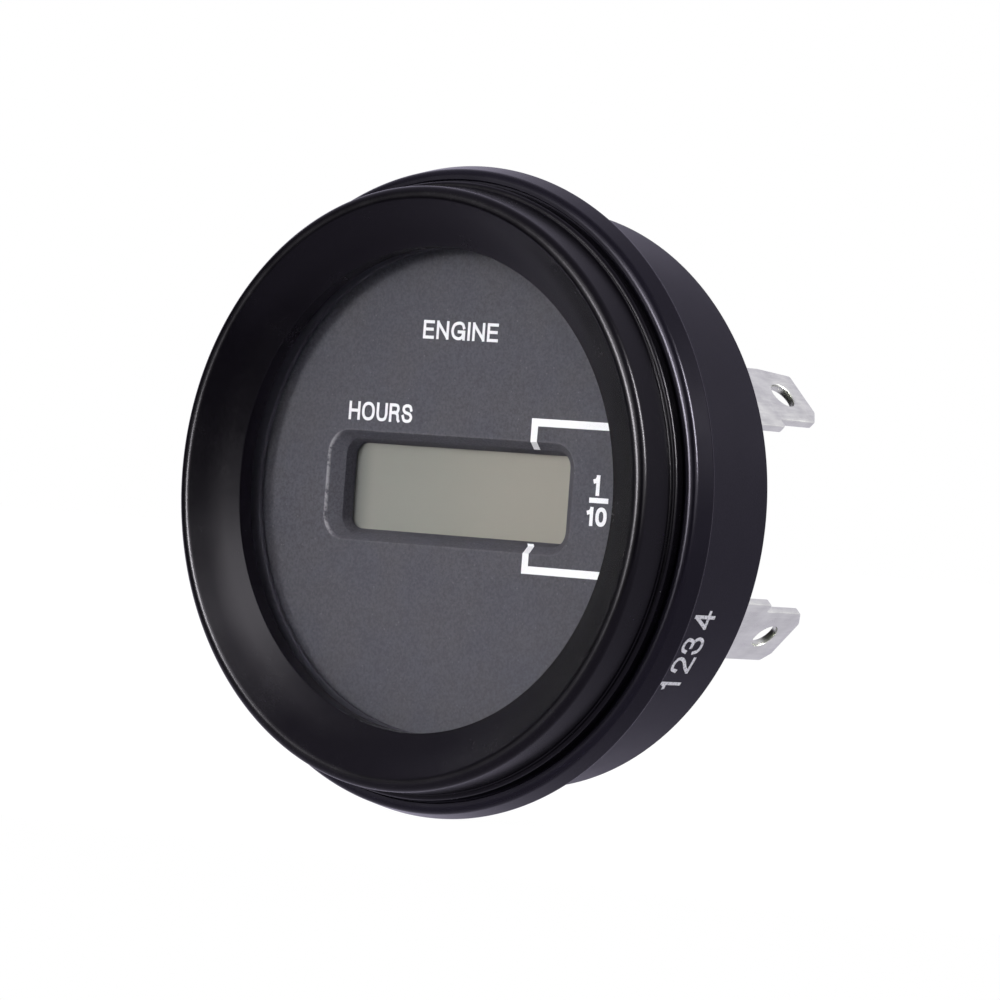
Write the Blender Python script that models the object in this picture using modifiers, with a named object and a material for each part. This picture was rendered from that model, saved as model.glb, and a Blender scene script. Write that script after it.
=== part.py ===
"""Round panel hour meter with a liquid crystal display and two blade terminals.

The meter is modelled face up: its axis is local Z, the front looks along +Z and the plane z = 0 is
the panel that the flange is drawn against. An empty then turns it so that the dial faces -Y and
the top of the dial is +Z. Lengths are written in millimetres and become metres through MM.
"""

import math

import bmesh
import bpy
from mathutils import Matrix, Vector

MM = 0.001
COLLECTION_NAME = "hour_meter"
CUTTER_COLLECTION_NAME = "cutters"

# Fits
SEAT_GAP = 0.2            # between moulded pieces that seat on each other
FILM_GAP = 0.1            # between the layers of the display
TURN_STEPS = 72           # facets round the case and the bezel
INNER_TURN_STEPS = 48     # facets round what they hold
SMALL_TURN_STEPS = 20     # facets round screws and components

# Case: a cup with a flange, open at the front and closed by the rear cover
CASE_RADIUS = 26.05
CASE_WALL = 1.55
CASE_EDGE_ROUND = 0.2
CASE_ROOT_ROUND = 0.25    # inner corner between the body and the flange's rear face
FLANGE_HEIGHT = 2.45      # in front of the panel
FLANGE_LAND = 1.4         # radial width of the flange outside the bezel's foot
FLANGE_TAPER = 0.5        # how much the flange's side draws in towards its front
FLANGE_FLAT = 0.08        # what the rounded corner leaves flat
COLLAR_WALL = 0.8
COLLAR_REACH = 1.57       # how far the collar stands in front of the lip's rear face
SNAP_BEAD = 0.25
BEZEL_SEAT_DEPTH = 0.25   # behind the front of the flange
DIAL_LEDGE_WIDTH = 2.1
DIAL_LEDGE_THICKNESS = 1.2
COVER_LEDGE_WIDTH = 0.6

# Bezel: a dished ring that snaps over the collar
LIP_WIDTH = 3.0           # how far the lip reaches in from the case's bore
LIP_THICKNESS = 1.5
DISH_DEPTH = 2.53         # from the crest down to the edge of the lip
CREST_ROUND = 0.76        # from the dish over to the side
BEZEL_WALL = 1.2          # skirt outside the snap groove
FOOT_WIDTH = 0.7          # how far the foot stands out from the side
FOOT_THICKNESS = 1.15
BEZEL_ROUND = 0.26        # at the lip's edge and the foot
BEZEL_DRAFT = 0.2

# Lens and its seal
LENS_THICKNESS = 1.0
GASKET_WIDTH = 1.2
GASKET_THICKNESS = 0.6
GASKET_INSET = 0.5        # from the outer edge of the lens

# Dial
DIAL_HEIGHT = 1.2         # printed face in front of the panel
DIAL_THICKNESS = 1.4
DIAL_RIM_CLEARANCE = 0.1
SPACER_WALL = 0.7
SPACER_LIP = 0.43         # thickness of the part between dial and lens
WINDOW_TO_SPACER = 0.1    # the spacer's bore stands back behind the lip
WELL_DEPTH = 2.3          # from the printed face to the back of the display well
WELL_TO_GLASS = 2.2       # how far each end of the well stands in from the glass
WELL_WIDTH = 8.6
WELL_CORNER = 1.4
WELL_TAPER = 0.45         # how much each wall draws in over the depth
WELL_WALL = 1.4
BEVEL_LENGTH = 0.9        # how far the bevel round the well reaches out at each end
BEVEL_WIDTH = 0.6         # and at each long side
BEVEL_DEPTH = 1.0

# Display: films and glass, largest in front
GLASS_TO_LEDGE = 6.9      # from each end of the glass to the ledge round it
GLASS_WIDTH = 15.6
GLASS_THICKNESS = 0.7
CONTACT_LEDGE = 2.2       # strip of the front glass left bare for the connectors
FILM_THICKNESS = 0.2
FILM_MARGIN = 0.8
HOLDER_WALL = 1.8
HOLDER_CORNER = 1.5
STRIP_WIDTH = 1.6
STRIP_SHORTER = 2.0       # how much shorter than the glass the connector strips are

# Circuit board, its screws and its components
BOARD_SPACE = 3.4         # from the back of the display well to the board
BOARD_THICKNESS = 1.6
SCREW_INSET = 4.7         # from the edge of the board
COMPONENT_SPACE = 3.55    # behind the board, for what it carries
SCREW_ANGLES = (60.0, 120.0, 240.0, 300.0)
BOSS_RADIUS = 1.9
SCREW_RADIUS = 0.8
SCREW_BITE = 2.4          # length of thread inside the boss
SCREW_HEAD_RADIUS = 1.5
SCREW_HEAD_HEIGHT = 1.0
SCREW_SLOT = 0.4
BLOB_RADIUS = 5.0
BLOB_HEIGHT = 1.5
CHIP_SIZE = (5.0, 4.0, 1.4)
CHIP_PLACE = (-11.5, 6.5)
CHIP_LEADS = 4
CHIP_PITCH = 1.27
LEAD_SIZE = (0.42, 1.1, 0.5)
CRYSTAL_RADIUS = 1.0
CRYSTAL_LENGTH = 6.2
CRYSTAL_PLACE = (-11.5, -6.5)
CAPACITOR_RADIUS = 2.4
CAPACITOR_HEIGHT = 2.2
CAPACITOR_BASE = 0.6
CAPACITOR_PLACE = (10.5, 0.0)
RESISTOR_SIZE = (3.2, 1.6, 0.6)
RESISTOR_PLACES = ((-2.4, 9.0), (2.4, 9.0), (-2.4, -9.0), (2.4, -9.0))
DIODE_SIZE = (4.3, 2.6, 1.6)
DIODE_PLACES = ((12.0, 7.0), (12.0, -7.0))
COMPONENT_BEVEL = 0.15

# Rear cover
COVER_THICKNESS = 1.4
COVER_RECESS = 0.2        # behind the case's rear edge
COVER_BOSS_HEIGHT = 1.8
COVER_BOSS_MARGIN = 1.0
COVER_BOSS_CORNER = 0.8
COVER_DISH_RADIUS = 11.0
COVER_DISH_DEPTH = 0.4

# Blade terminals: flat stampings, one above and one below the middle of the meter
BLADE_WIDTH = 6.35
BLADE_THICKNESS = 0.8
BLADE_SHOULDER = 0.88     # how much the root is wider on each side
BLADE_ANGLE = 45.0        # turn of the blade's width from the meter's level
BLADE_BEARING = 29.3      # where round the meter each blade stands
BLADE_EDGE_CLEARANCE = 0.35
BLADE_HOLE_RADIUS = 1.3
BLADE_ROOT_LENGTH = 7.2   # from the rear cover to the shoulder
BLADE_LENGTH = 6.1        # from the shoulder to the tip
BLADE_HOLE_FROM_TIP = 3.2
BLADE_STOP = 1.1          # hook that bears on the inside of the cover
BLADE_STOP_LENGTH = 1.8
BLADE_LEG_WIDTH = 2.4
BLADE_LEG_PAST_BOARD = 0.6
BLADE_EDGE_BEVEL = 0.1
# Lead-in at each corner of the tip: (across the width, along the length)
UPPER_OUTER_TAPER = (0.6, 4.4)
LOWER_OUTER_TAPER = (1.0, 0.8)
INNER_TIP_CORNER = (1.3, 1.1)

# Radii that follow from the sizes above
BORE_RADIUS = CASE_RADIUS - CASE_WALL
FITTED_RADIUS = BORE_RADIUS - SEAT_GAP
WINDOW_RADIUS = BORE_RADIUS - LIP_WIDTH
COLLAR_RADIUS = BORE_RADIUS + COLLAR_WALL
SKIRT_BORE = COLLAR_RADIUS + SEAT_GAP
BEZEL_RADIUS = SKIRT_BORE + BEZEL_WALL
FOOT_RADIUS = BEZEL_RADIUS + FOOT_WIDTH
FLANGE_RADIUS = FOOT_RADIUS + SEAT_GAP + FLANGE_LAND
FLANGE_ROUND = FLANGE_LAND - FLANGE_TAPER - SEAT_GAP / 2 - FLANGE_FLAT
COVER_LEDGE_RADIUS = BORE_RADIUS - COVER_LEDGE_WIDTH
DIAL_LEDGE_RADIUS = BORE_RADIUS - DIAL_LEDGE_WIDTH
SPACER_BORE = WINDOW_RADIUS + WINDOW_TO_SPACER
DIAL_RADIUS = FITTED_RADIUS - SPACER_WALL - SEAT_GAP
BOARD_RADIUS = COVER_LEDGE_RADIUS - SEAT_GAP
SCREW_CIRCLE = BOARD_RADIUS - SCREW_INSET
GLASS_LENGTH = 2 * (DIAL_LEDGE_RADIUS - GLASS_TO_LEDGE)
WELL_LENGTH = GLASS_LENGTH - 2 * WELL_TO_GLASS

# Heights that follow, front to back
LENS_BACK = DIAL_HEIGHT + SEAT_GAP + SPACER_LIP + SEAT_GAP
LENS_FRONT = LENS_BACK + LENS_THICKNESS
LIP_HEIGHT = LENS_FRONT + SEAT_GAP
LIP_EDGE_HEIGHT = LIP_HEIGHT + LIP_THICKNESS
CREST_HEIGHT = LIP_EDGE_HEIGHT + DISH_DEPTH
COLLAR_HEIGHT = LIP_HEIGHT + COLLAR_REACH
BEZEL_SEAT_HEIGHT = FLANGE_HEIGHT - BEZEL_SEAT_DEPTH
DIAL_BACK = DIAL_HEIGHT - DIAL_THICKNESS
LEDGE_FRONT = DIAL_BACK - SEAT_GAP
LEDGE_BACK = LEDGE_FRONT - DIAL_LEDGE_THICKNESS
WELL_BACK = DIAL_HEIGHT - WELL_DEPTH
FRONT_FILM_TOP = WELL_BACK - SEAT_GAP
FRONT_GLASS_TOP = FRONT_FILM_TOP - FILM_THICKNESS - FILM_GAP
REAR_GLASS_TOP = FRONT_GLASS_TOP - GLASS_THICKNESS - FILM_GAP
REFLECTOR_TOP = REAR_GLASS_TOP - GLASS_THICKNESS - FILM_GAP
BOARD_TOP = WELL_BACK - SEAT_GAP - BOARD_SPACE
BOARD_BACK = BOARD_TOP - BOARD_THICKNESS
COVER_FRONT = BOARD_BACK - COMPONENT_SPACE
COVER_BACK = COVER_FRONT - COVER_THICKNESS
CASE_BACK = COVER_BACK - COVER_RECESS
COVER_LEDGE_HEIGHT = COVER_FRONT + SEAT_GAP


def make_collection(name):
    """Return a new collection linked to the scene."""
    collection = bpy.data.collections.new(name)
    bpy.context.scene.collection.children.link(collection)
    return collection


def make_material(name, colour, roughness, metallic=0.0, transmission=0.0):
    """Return a Principled material."""
    material = bpy.data.materials.new(name)
    material.use_nodes = True
    shader = material.node_tree.nodes["Principled BSDF"]
    shader.inputs["Base Color"].default_value = (*colour, 1.0)
    shader.inputs["Roughness"].default_value = roughness
    shader.inputs["Metallic"].default_value = metallic
    shader.inputs["Transmission Weight"].default_value = transmission
    material.diffuse_color = (*colour, 1.0)
    return material


def add_object(name, mesh, workshop, material):
    """Place a mesh in the meter, or among its cutters when it has no material."""
    obj = bpy.data.objects.new(name, mesh)
    if material is None:
        workshop["cutters"].objects.link(obj)
        obj.hide_render = True
        obj.display_type = "WIRE"
    else:
        workshop["parts"].objects.link(obj)
        mesh.materials.append(material)
    obj.parent = workshop["turn"]
    return obj


def mesh_from(bm, name):
    """Turn a bmesh into a mesh in metres."""
    bmesh.ops.scale(bm, vec=(MM, MM, MM), verts=bm.verts)
    mesh = bpy.data.meshes.new(name)
    bm.to_mesh(mesh)
    bm.free()
    return mesh


def corner(centre_r, centre_z, radius, start, end, count=4):
    """Return points on a rounded corner, with its angles in degrees from +r towards +z."""
    points = []
    for index in range(count + 1):
        angle = math.radians(start + (end - start) * index / count)
        points.append((centre_r + radius * math.cos(angle), centre_z + radius * math.sin(angle)))
    return points


def touch_angle(point, centre, radius):
    """Return where a line from a point outside a rounding runs into it, in degrees from +r."""
    across, up = centre[0] - point[0], centre[1] - point[1]
    lean = math.atan2(up, across) + math.asin(radius / math.hypot(across, up))
    return 90.0 + math.degrees(lean)


def turned(name, profile, workshop, material=None, steps=TURN_STEPS, closed=True):
    """Sweep a profile of (radius, height) points round the axis.

    A closed profile makes a ring, and an open one starts and ends on the axis. Both run down
    their outer side.
    """
    mesh = bpy.data.meshes.new(name)
    verts = [(r * MM, 0.0, z * MM) for r, z in profile]
    edges = [(i, i + 1) for i in range(len(verts) - 1)]
    if closed:
        edges.append((len(verts) - 1, 0))
    mesh.from_pydata(verts, edges, [])
    obj = add_object(name, mesh, workshop, material)
    screw = obj.modifiers.new("turn", "SCREW")
    screw.axis = "Z"
    screw.steps = steps
    screw.render_steps = steps
    screw.use_merge_vertices = True
    screw.merge_threshold = 0.000001
    screw.use_smooth_shade = True
    return obj


def disc_profile(radius, back, front, edge=0.0):
    """Return the open profile of a disc whose edges are chamfered."""
    profile = [(0.0, front), (radius - edge, front)]
    if edge:
        profile += [(radius, front - edge), (radius, back + edge)]
    profile += [(radius - edge, back), (0.0, back)]
    return profile


def ring_profile(inner, outer, back, front):
    """Return the closed profile of a plain ring."""
    return [(inner, front), (outer, front), (outer, back), (inner, back)]


def block_mesh(name, length, width, back, front, corner_radius=0.0, shrink=(0.0, 0.0), segments=4):
    """Return a block whose upright corners are rounded and whose back may be drawn in.

    The length lies along X, the width along Y. Shrink is how much each side moves in at the back.
    """
    bm = bmesh.new()
    bmesh.ops.create_cube(bm, size=1.0)
    for vert in bm.verts:
        at_back = vert.co.z < 0.0
        half_length = length / 2 - (shrink[0] if at_back else 0.0)
        half_width = width / 2 - (shrink[1] if at_back else 0.0)
        vert.co.x = math.copysign(half_length, vert.co.x)
        vert.co.y = math.copysign(half_width, vert.co.y)
        vert.co.z = back if at_back else front
    if corner_radius:
        upright = [e for e in bm.edges if abs(e.verts[0].co.z - e.verts[1].co.z) > (front - back) / 2]
        bmesh.ops.bevel(bm, geom=upright, offset=corner_radius, segments=segments, profile=0.5,
                        affect="EDGES", offset_type="OFFSET")
    return mesh_from(bm, name)


def block(name, size, back, front, workshop, material=None, place=(0.0, 0.0), corner_radius=0.0,
          shrink=(0.0, 0.0), bearing=0.0):
    """Add a block at a place on the dial plane, turned by a bearing in degrees."""
    mesh = block_mesh(name, size[0], size[1], back, front, corner_radius, shrink)
    obj = add_object(name, mesh, workshop, material)
    obj.location = (place[0] * MM, place[1] * MM, 0.0)
    obj.rotation_euler = (0.0, 0.0, math.radians(bearing))
    return obj


def boolean(target, operation, tool):
    """Add a Boolean modifier that cuts the target or joins the tool to it."""
    modifier = target.modifiers.new(tool.name, "BOOLEAN")
    modifier.operation = operation
    modifier.solver = "EXACT"
    modifier.object = tool


def soften(obj, width, segments=1):
    """Round the sharp edges of a piece."""
    bevel = obj.modifiers.new("soften", "BEVEL")
    bevel.width = width * MM
    bevel.segments = segments
    bevel.limit_method = "ANGLE"
    bevel.angle_limit = math.radians(40.0)


def bearing_point(radius, bearing):
    """Return the point at a radius and a bearing in degrees from +X towards +Y."""
    angle = math.radians(bearing)
    return (radius * math.cos(angle), radius * math.sin(angle))


def make_case(workshop, material):
    """Turn the case: body, flange, collar with its snap bead, and the two inner ledges."""
    flange_centre = FLANGE_HEIGHT - FLANGE_ROUND
    front_radius = FLANGE_RADIUS - FLANGE_TAPER
    side_lean = math.degrees(math.atan2(FLANGE_TAPER, flange_centre))
    edge = CASE_EDGE_ROUND
    flange_bore = FOOT_RADIUS + SEAT_GAP
    bead_height = (COLLAR_HEIGHT + BEZEL_SEAT_HEIGHT) / 2
    profile = [(BORE_RADIUS, COLLAR_HEIGHT), (COLLAR_RADIUS - SNAP_BEAD, COLLAR_HEIGHT)]
    profile += [(COLLAR_RADIUS - SNAP_BEAD / 2, bead_height + 2 * SNAP_BEAD)]
    profile += [(COLLAR_RADIUS, bead_height), (COLLAR_RADIUS - SNAP_BEAD / 2, bead_height - SNAP_BEAD)]
    profile += [(COLLAR_RADIUS - SNAP_BEAD / 2, BEZEL_SEAT_HEIGHT), (flange_bore, BEZEL_SEAT_HEIGHT)]
    profile += [(flange_bore, FLANGE_HEIGHT - SEAT_GAP / 2), (flange_bore + SEAT_GAP / 2, FLANGE_HEIGHT)]
    profile += corner(front_radius - FLANGE_ROUND, flange_centre, FLANGE_ROUND, 90.0, side_lean, 5)
    profile += [(FLANGE_RADIUS, CASE_ROOT_ROUND / 2), (FLANGE_RADIUS - CASE_ROOT_ROUND / 2, 0.0)]
    profile += [(CASE_RADIUS + CASE_ROOT_ROUND, 0.0), (CASE_RADIUS, -CASE_ROOT_ROUND)]
    profile += corner(CASE_RADIUS - edge, CASE_BACK + edge, edge, 0.0, -90.0, 3)
    profile += [(BORE_RADIUS, CASE_BACK), (BORE_RADIUS, COVER_LEDGE_HEIGHT)]
    profile += [(COVER_LEDGE_RADIUS, COVER_LEDGE_HEIGHT), (COVER_LEDGE_RADIUS, LEDGE_BACK)]
    profile += [(DIAL_LEDGE_RADIUS, LEDGE_BACK), (DIAL_LEDGE_RADIUS, LEDGE_FRONT)]
    profile += [(BORE_RADIUS, LEDGE_FRONT)]
    return turned("case_body", profile, workshop, material)


def make_bezel(workshop, material):
    """Turn the bezel: dish, crest, side and foot outside, and the seats of collar, lens and seal."""
    rounding = BEZEL_ROUND
    lip_edge = (WINDOW_RADIUS + rounding / 2, LIP_EDGE_HEIGHT)
    crest = (BEZEL_RADIUS - CREST_ROUND, CREST_HEIGHT - CREST_ROUND)
    foot_back = BEZEL_SEAT_HEIGHT + SEAT_GAP
    foot_front = foot_back + FOOT_THICKNESS
    slot_top = COLLAR_HEIGHT + SEAT_GAP
    groove_outer = FITTED_RADIUS - GASKET_INSET + SEAT_GAP
    groove_inner = groove_outer - GASKET_WIDTH - 2 * SEAT_GAP
    groove_top = LIP_HEIGHT + GASKET_THICKNESS + SEAT_GAP
    profile = [(WINDOW_RADIUS, LIP_HEIGHT), (WINDOW_RADIUS, LIP_EDGE_HEIGHT - rounding / 2)]
    profile += [lip_edge]
    profile += corner(*crest, CREST_ROUND, touch_angle(lip_edge, crest, CREST_ROUND), 0.0, 5)
    profile += [(BEZEL_RADIUS + BEZEL_DRAFT, foot_front + rounding)]
    profile += [(BEZEL_RADIUS + BEZEL_DRAFT + rounding / 2, foot_front)]
    profile += corner(FOOT_RADIUS - rounding, foot_front - rounding, rounding, 90.0, 0.0, 3)
    profile += [(FOOT_RADIUS, foot_back), (SKIRT_BORE, foot_back), (SKIRT_BORE, slot_top)]
    profile += [(FITTED_RADIUS, slot_top), (FITTED_RADIUS, LIP_HEIGHT), (groove_outer, LIP_HEIGHT)]
    profile += [(groove_outer, groove_top), (groove_inner, groove_top), (groove_inner, LIP_HEIGHT)]
    return turned("bezel_ring", profile, workshop, material)


def make_lens_and_seal(workshop, materials):
    """Turn the flat lens and the flat gasket that the bezel presses on it."""
    profile = disc_profile(FITTED_RADIUS, LENS_BACK, LENS_FRONT, 0.15)
    turned("lens", profile, workshop, materials["clear"], INNER_TURN_STEPS, closed=False)
    outer = FITTED_RADIUS - GASKET_INSET
    profile = ring_profile(outer - GASKET_WIDTH, outer, LIP_HEIGHT, LIP_HEIGHT + GASKET_THICKNESS)
    turned("lens_gasket", profile, workshop, materials["rubber"], INNER_TURN_STEPS)


def make_spacer(workshop, material):
    """Turn the stepped ring that holds the lens off the dial and centres the dial."""
    lip_back = DIAL_HEIGHT + SEAT_GAP
    lip_front = LENS_BACK - SEAT_GAP
    step = FITTED_RADIUS - SPACER_WALL
    foot = LEDGE_FRONT + SEAT_GAP
    profile = [(SPACER_BORE, lip_front), (FITTED_RADIUS, lip_front), (FITTED_RADIUS, foot)]
    profile += [(step, foot), (step, lip_back), (SPACER_BORE, lip_back)]
    return turned("spacer_ring", profile, workshop, material, INNER_TURN_STEPS)


def make_dial(workshop, material):
    """Mould the dial: a disc with the display well and four screw bosses behind it."""
    profile = disc_profile(DIAL_RADIUS - DIAL_RIM_CLEARANCE, DIAL_BACK, DIAL_HEIGHT)
    dial = turned("dial_plate", profile, workshop, material, INNER_TURN_STEPS, closed=False)
    middle = (DIAL_HEIGHT + DIAL_BACK) / 2
    outer = (WELL_LENGTH + 2 * WELL_WALL, WELL_WIDTH + 2 * WELL_WALL)
    skirt = block("well_skirt", outer, WELL_BACK, middle, workshop, corner_radius=WELL_CORNER)
    boolean(dial, "UNION", skirt)
    boss_tip = BOARD_TOP + SEAT_GAP
    for index, bearing in enumerate(SCREW_ANGLES, start=1):
        x, y = bearing_point(SCREW_CIRCLE, bearing)
        boss_profile = disc_profile(BOSS_RADIUS, boss_tip, middle)
        boss = turned(f"boss_{index}", boss_profile, workshop, steps=SMALL_TURN_STEPS, closed=False)
        boss.location = (x * MM, y * MM, 0.0)
        boolean(dial, "UNION", boss)
        pilot_profile = disc_profile(SCREW_RADIUS + SEAT_GAP, boss_tip - 1.0,
                                     boss_tip + SCREW_BITE + SEAT_GAP)
        pilot = turned(f"pilot_{index}", pilot_profile, workshop, steps=SMALL_TURN_STEPS, closed=False)
        pilot.location = boss.location
        boolean(dial, "DIFFERENCE", pilot)
    cut_well(dial, workshop)
    return dial


def cut_well(dial, workshop):
    """Cut the display well and the bevel round its mouth; both cutters run on at their slopes."""
    reach = 0.5
    slope = WELL_TAPER / WELL_DEPTH
    size = (WELL_LENGTH + 2 * reach * slope, WELL_WIDTH + 2 * reach * slope)
    drawn_in = slope * (WELL_DEPTH + 2 * reach)
    well = block("well_opening", size, WELL_BACK - reach, DIAL_HEIGHT + reach, workshop,
                 corner_radius=WELL_CORNER, shrink=(drawn_in, drawn_in))
    boolean(dial, "DIFFERENCE", well)
    ahead = reach / BEVEL_DEPTH
    size = (WELL_LENGTH + 2 * BEVEL_LENGTH * (1 + ahead), WELL_WIDTH + 2 * BEVEL_WIDTH * (1 + ahead))
    drawn_in = (BEVEL_LENGTH * (1 + 2 * ahead), BEVEL_WIDTH * (1 + 2 * ahead))
    bevel = block("well_bevel", size, DIAL_HEIGHT - BEVEL_DEPTH - reach, DIAL_HEIGHT + reach, workshop,
                  corner_radius=WELL_CORNER + BEVEL_LENGTH, shrink=drawn_in)
    boolean(dial, "DIFFERENCE", bevel)


def make_display(workshop, materials):
    """Stack the display: polariser, front glass, rear glass and reflector."""
    film = (GLASS_LENGTH - 2 * FILM_MARGIN, GLASS_WIDTH - 2 * CONTACT_LEDGE - FILM_MARGIN)
    rear = (GLASS_LENGTH, GLASS_WIDTH - 2 * CONTACT_LEDGE)
    block("lcd_front_polariser", film, FRONT_FILM_TOP - FILM_THICKNESS, FRONT_FILM_TOP, workshop,
          materials["polariser"])
    block("lcd_front_glass", (GLASS_LENGTH, GLASS_WIDTH), FRONT_GLASS_TOP - GLASS_THICKNESS,
          FRONT_GLASS_TOP, workshop, materials["glass"])
    block("lcd_rear_glass", rear, REAR_GLASS_TOP - GLASS_THICKNESS, REAR_GLASS_TOP, workshop,
          materials["glass"])
    block("lcd_reflector", film, REFLECTOR_TOP - FILM_THICKNESS, REFLECTOR_TOP, workshop,
          materials["reflector"])


def make_holder(workshop, material):
    """Mould the frame that keeps the glass and the connector strips in line."""
    outer = (GLASS_LENGTH + 2 * (SEAT_GAP + HOLDER_WALL), GLASS_WIDTH + 2 * (SEAT_GAP + HOLDER_WALL))
    inner = (GLASS_LENGTH + 2 * SEAT_GAP, GLASS_WIDTH + 2 * SEAT_GAP)
    front = FRONT_FILM_TOP
    back = BOARD_TOP + SEAT_GAP
    holder = block("lcd_holder", outer, back, front, workshop, material, corner_radius=HOLDER_CORNER)
    opening = block("holder_opening", inner, back - 1.0, front + 1.0, workshop)
    boolean(holder, "DIFFERENCE", opening)
    return holder


def make_connector_strips(workshop, material):
    """Add the two elastic strips that join the front glass to the board."""
    front = FRONT_GLASS_TOP - GLASS_THICKNESS - FILM_GAP
    back = BOARD_TOP + FILM_GAP
    size = (GLASS_LENGTH - STRIP_SHORTER, STRIP_WIDTH)
    offset = GLASS_WIDTH / 2 - STRIP_WIDTH / 2 - FILM_GAP
    for name, side in (("connector_strip_upper", 1.0), ("connector_strip_lower", -1.0)):
        block(name, size, back, front, workshop, material, place=(0.0, side * offset))


def blade_centre(side):
    """Return where a blade stands: its root's outer corner keeps clear of the case.

    The corner at half the root's width along the blade lies on a circle inside the cover ledge,
    and the centre's radius is solved from that triangle.
    """
    half = BLADE_WIDTH / 2 + BLADE_SHOULDER
    circle = COVER_LEDGE_RADIUS - BLADE_EDGE_CLEARANCE
    lean = math.cos(math.radians(BLADE_BEARING + BLADE_ANGLE))
    radius = math.sqrt(circle ** 2 - half ** 2 * (1.0 - lean ** 2)) - half * lean
    x, y = bearing_point(radius, BLADE_BEARING)
    return (x, side * y)


def blade_outline(outer_corner):
    """Return the outline of a blade in its own plane: across the width, and back from the panel.

    The first number is the distance across, with the side near the rim of the case negative and
    the side near the meter's level positive. The second is the distance behind the panel.
    """
    half = BLADE_WIDTH / 2
    root = half + BLADE_SHOULDER
    leg = BLADE_LEG_WIDTH / 2
    cover_inside = -COVER_FRONT
    shoulder = -COVER_BACK + BLADE_ROOT_LENGTH
    tip = shoulder + BLADE_LENGTH
    stop_back = cover_inside - SEAT_GAP
    stop_front = stop_back - BLADE_STOP_LENGTH
    leg_end = -BOARD_TOP - BLADE_LEG_PAST_BOARD
    outline = [(-leg, leg_end), (leg, leg_end), (leg, stop_front), (root, stop_front)]
    outline += [(root, shoulder), (half, shoulder), (half, tip - INNER_TIP_CORNER[1])]
    outline += [(half - 0.3 * INNER_TIP_CORNER[0], tip - 0.3 * INNER_TIP_CORNER[1])]
    outline += [(half - INNER_TIP_CORNER[0], tip), (-half + outer_corner[0], tip)]
    outline += [(-half, tip - outer_corner[1]), (-half, shoulder), (-root, shoulder)]
    outline += [(-root, stop_back), (-root - BLADE_STOP, stop_back), (-root - BLADE_STOP, stop_front)]
    outline += [(-leg, stop_front)]
    return outline


def flat_curve_mesh(name, outline, hole_centre, hole_radius, thickness):
    """Extrude a flat outline with one round hole and return it as a welded mesh."""
    curve = bpy.data.curves.new(name, "CURVE")
    curve.dimensions = "2D"
    curve.fill_mode = "BOTH"
    curve.extrude = thickness * MM / 2
    hole = [bearing_point(hole_radius, 360.0 * i / SMALL_TURN_STEPS) for i in range(SMALL_TURN_STEPS)]
    hole = [(hole_centre[0] + x, hole_centre[1] + y) for x, y in hole]
    for points in (outline, hole):
        spline = curve.splines.new("POLY")
        spline.points.add(len(points) - 1)
        for point, (x, y) in zip(spline.points, points):
            point.co = (x * MM, y * MM, 0.0, 1.0)
        spline.use_cyclic_u = True
    holder = bpy.data.objects.new(name + "_outline", curve)
    bpy.context.scene.collection.objects.link(holder)
    depsgraph = bpy.context.evaluated_depsgraph_get()
    mesh = bpy.data.meshes.new_from_object(holder.evaluated_get(depsgraph))
    mesh.name = name
    bpy.data.objects.remove(holder)
    bm = bmesh.new()
    bm.from_mesh(mesh)
    bmesh.ops.remove_doubles(bm, verts=bm.verts, dist=0.000001)
    bmesh.ops.recalc_face_normals(bm, faces=bm.faces)
    bm.to_mesh(mesh)
    bm.free()
    mesh.materials.clear()
    return mesh


def make_terminal(name, side, outer_corner, workshop, material):
    """Stamp one blade terminal and stand it in its slot.

    The blade's own X runs across its width and its Y backwards. Its outer face passes through the
    centre that blade_centre gives, so the stamping lies half a thickness inside it.
    """
    hole_centre = (0.0, -COVER_BACK + BLADE_ROOT_LENGTH + BLADE_LENGTH - BLADE_HOLE_FROM_TIP)
    mesh = flat_curve_mesh(name, blade_outline(outer_corner), hole_centre, BLADE_HOLE_RADIUS,
                           BLADE_THICKNESS)
    blade = add_object(name, mesh, workshop, material)
    angle = math.radians(BLADE_ANGLE)
    across = Vector((math.cos(angle), -side * math.sin(angle), 0.0))
    backwards = Vector((0.0, 0.0, -1.0))
    outward = Vector((math.sin(angle), side * math.cos(angle), 0.0))
    x, y = blade_centre(side)
    centre = Vector((x, y, 0.0)) - outward * (BLADE_THICKNESS / 2)
    normal = across.cross(backwards)
    frame = Matrix((across, backwards, normal)).transposed().to_4x4()
    blade.matrix_local = Matrix.Translation(centre * MM) @ frame
    soften(blade, BLADE_EDGE_BEVEL)
    return blade


def blade_slot_tool(name, side, size, back, front, workshop, corner_radius=0.0):
    """Add a block round a blade, in line with it."""
    angle = math.radians(BLADE_ANGLE)
    x, y = blade_centre(side)
    x -= BLADE_THICKNESS / 2 * math.sin(angle)
    y -= side * BLADE_THICKNESS / 2 * math.cos(angle)
    return block(name, size, back, front, workshop, place=(x, y), corner_radius=corner_radius,
                 bearing=-side * BLADE_ANGLE)


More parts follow.
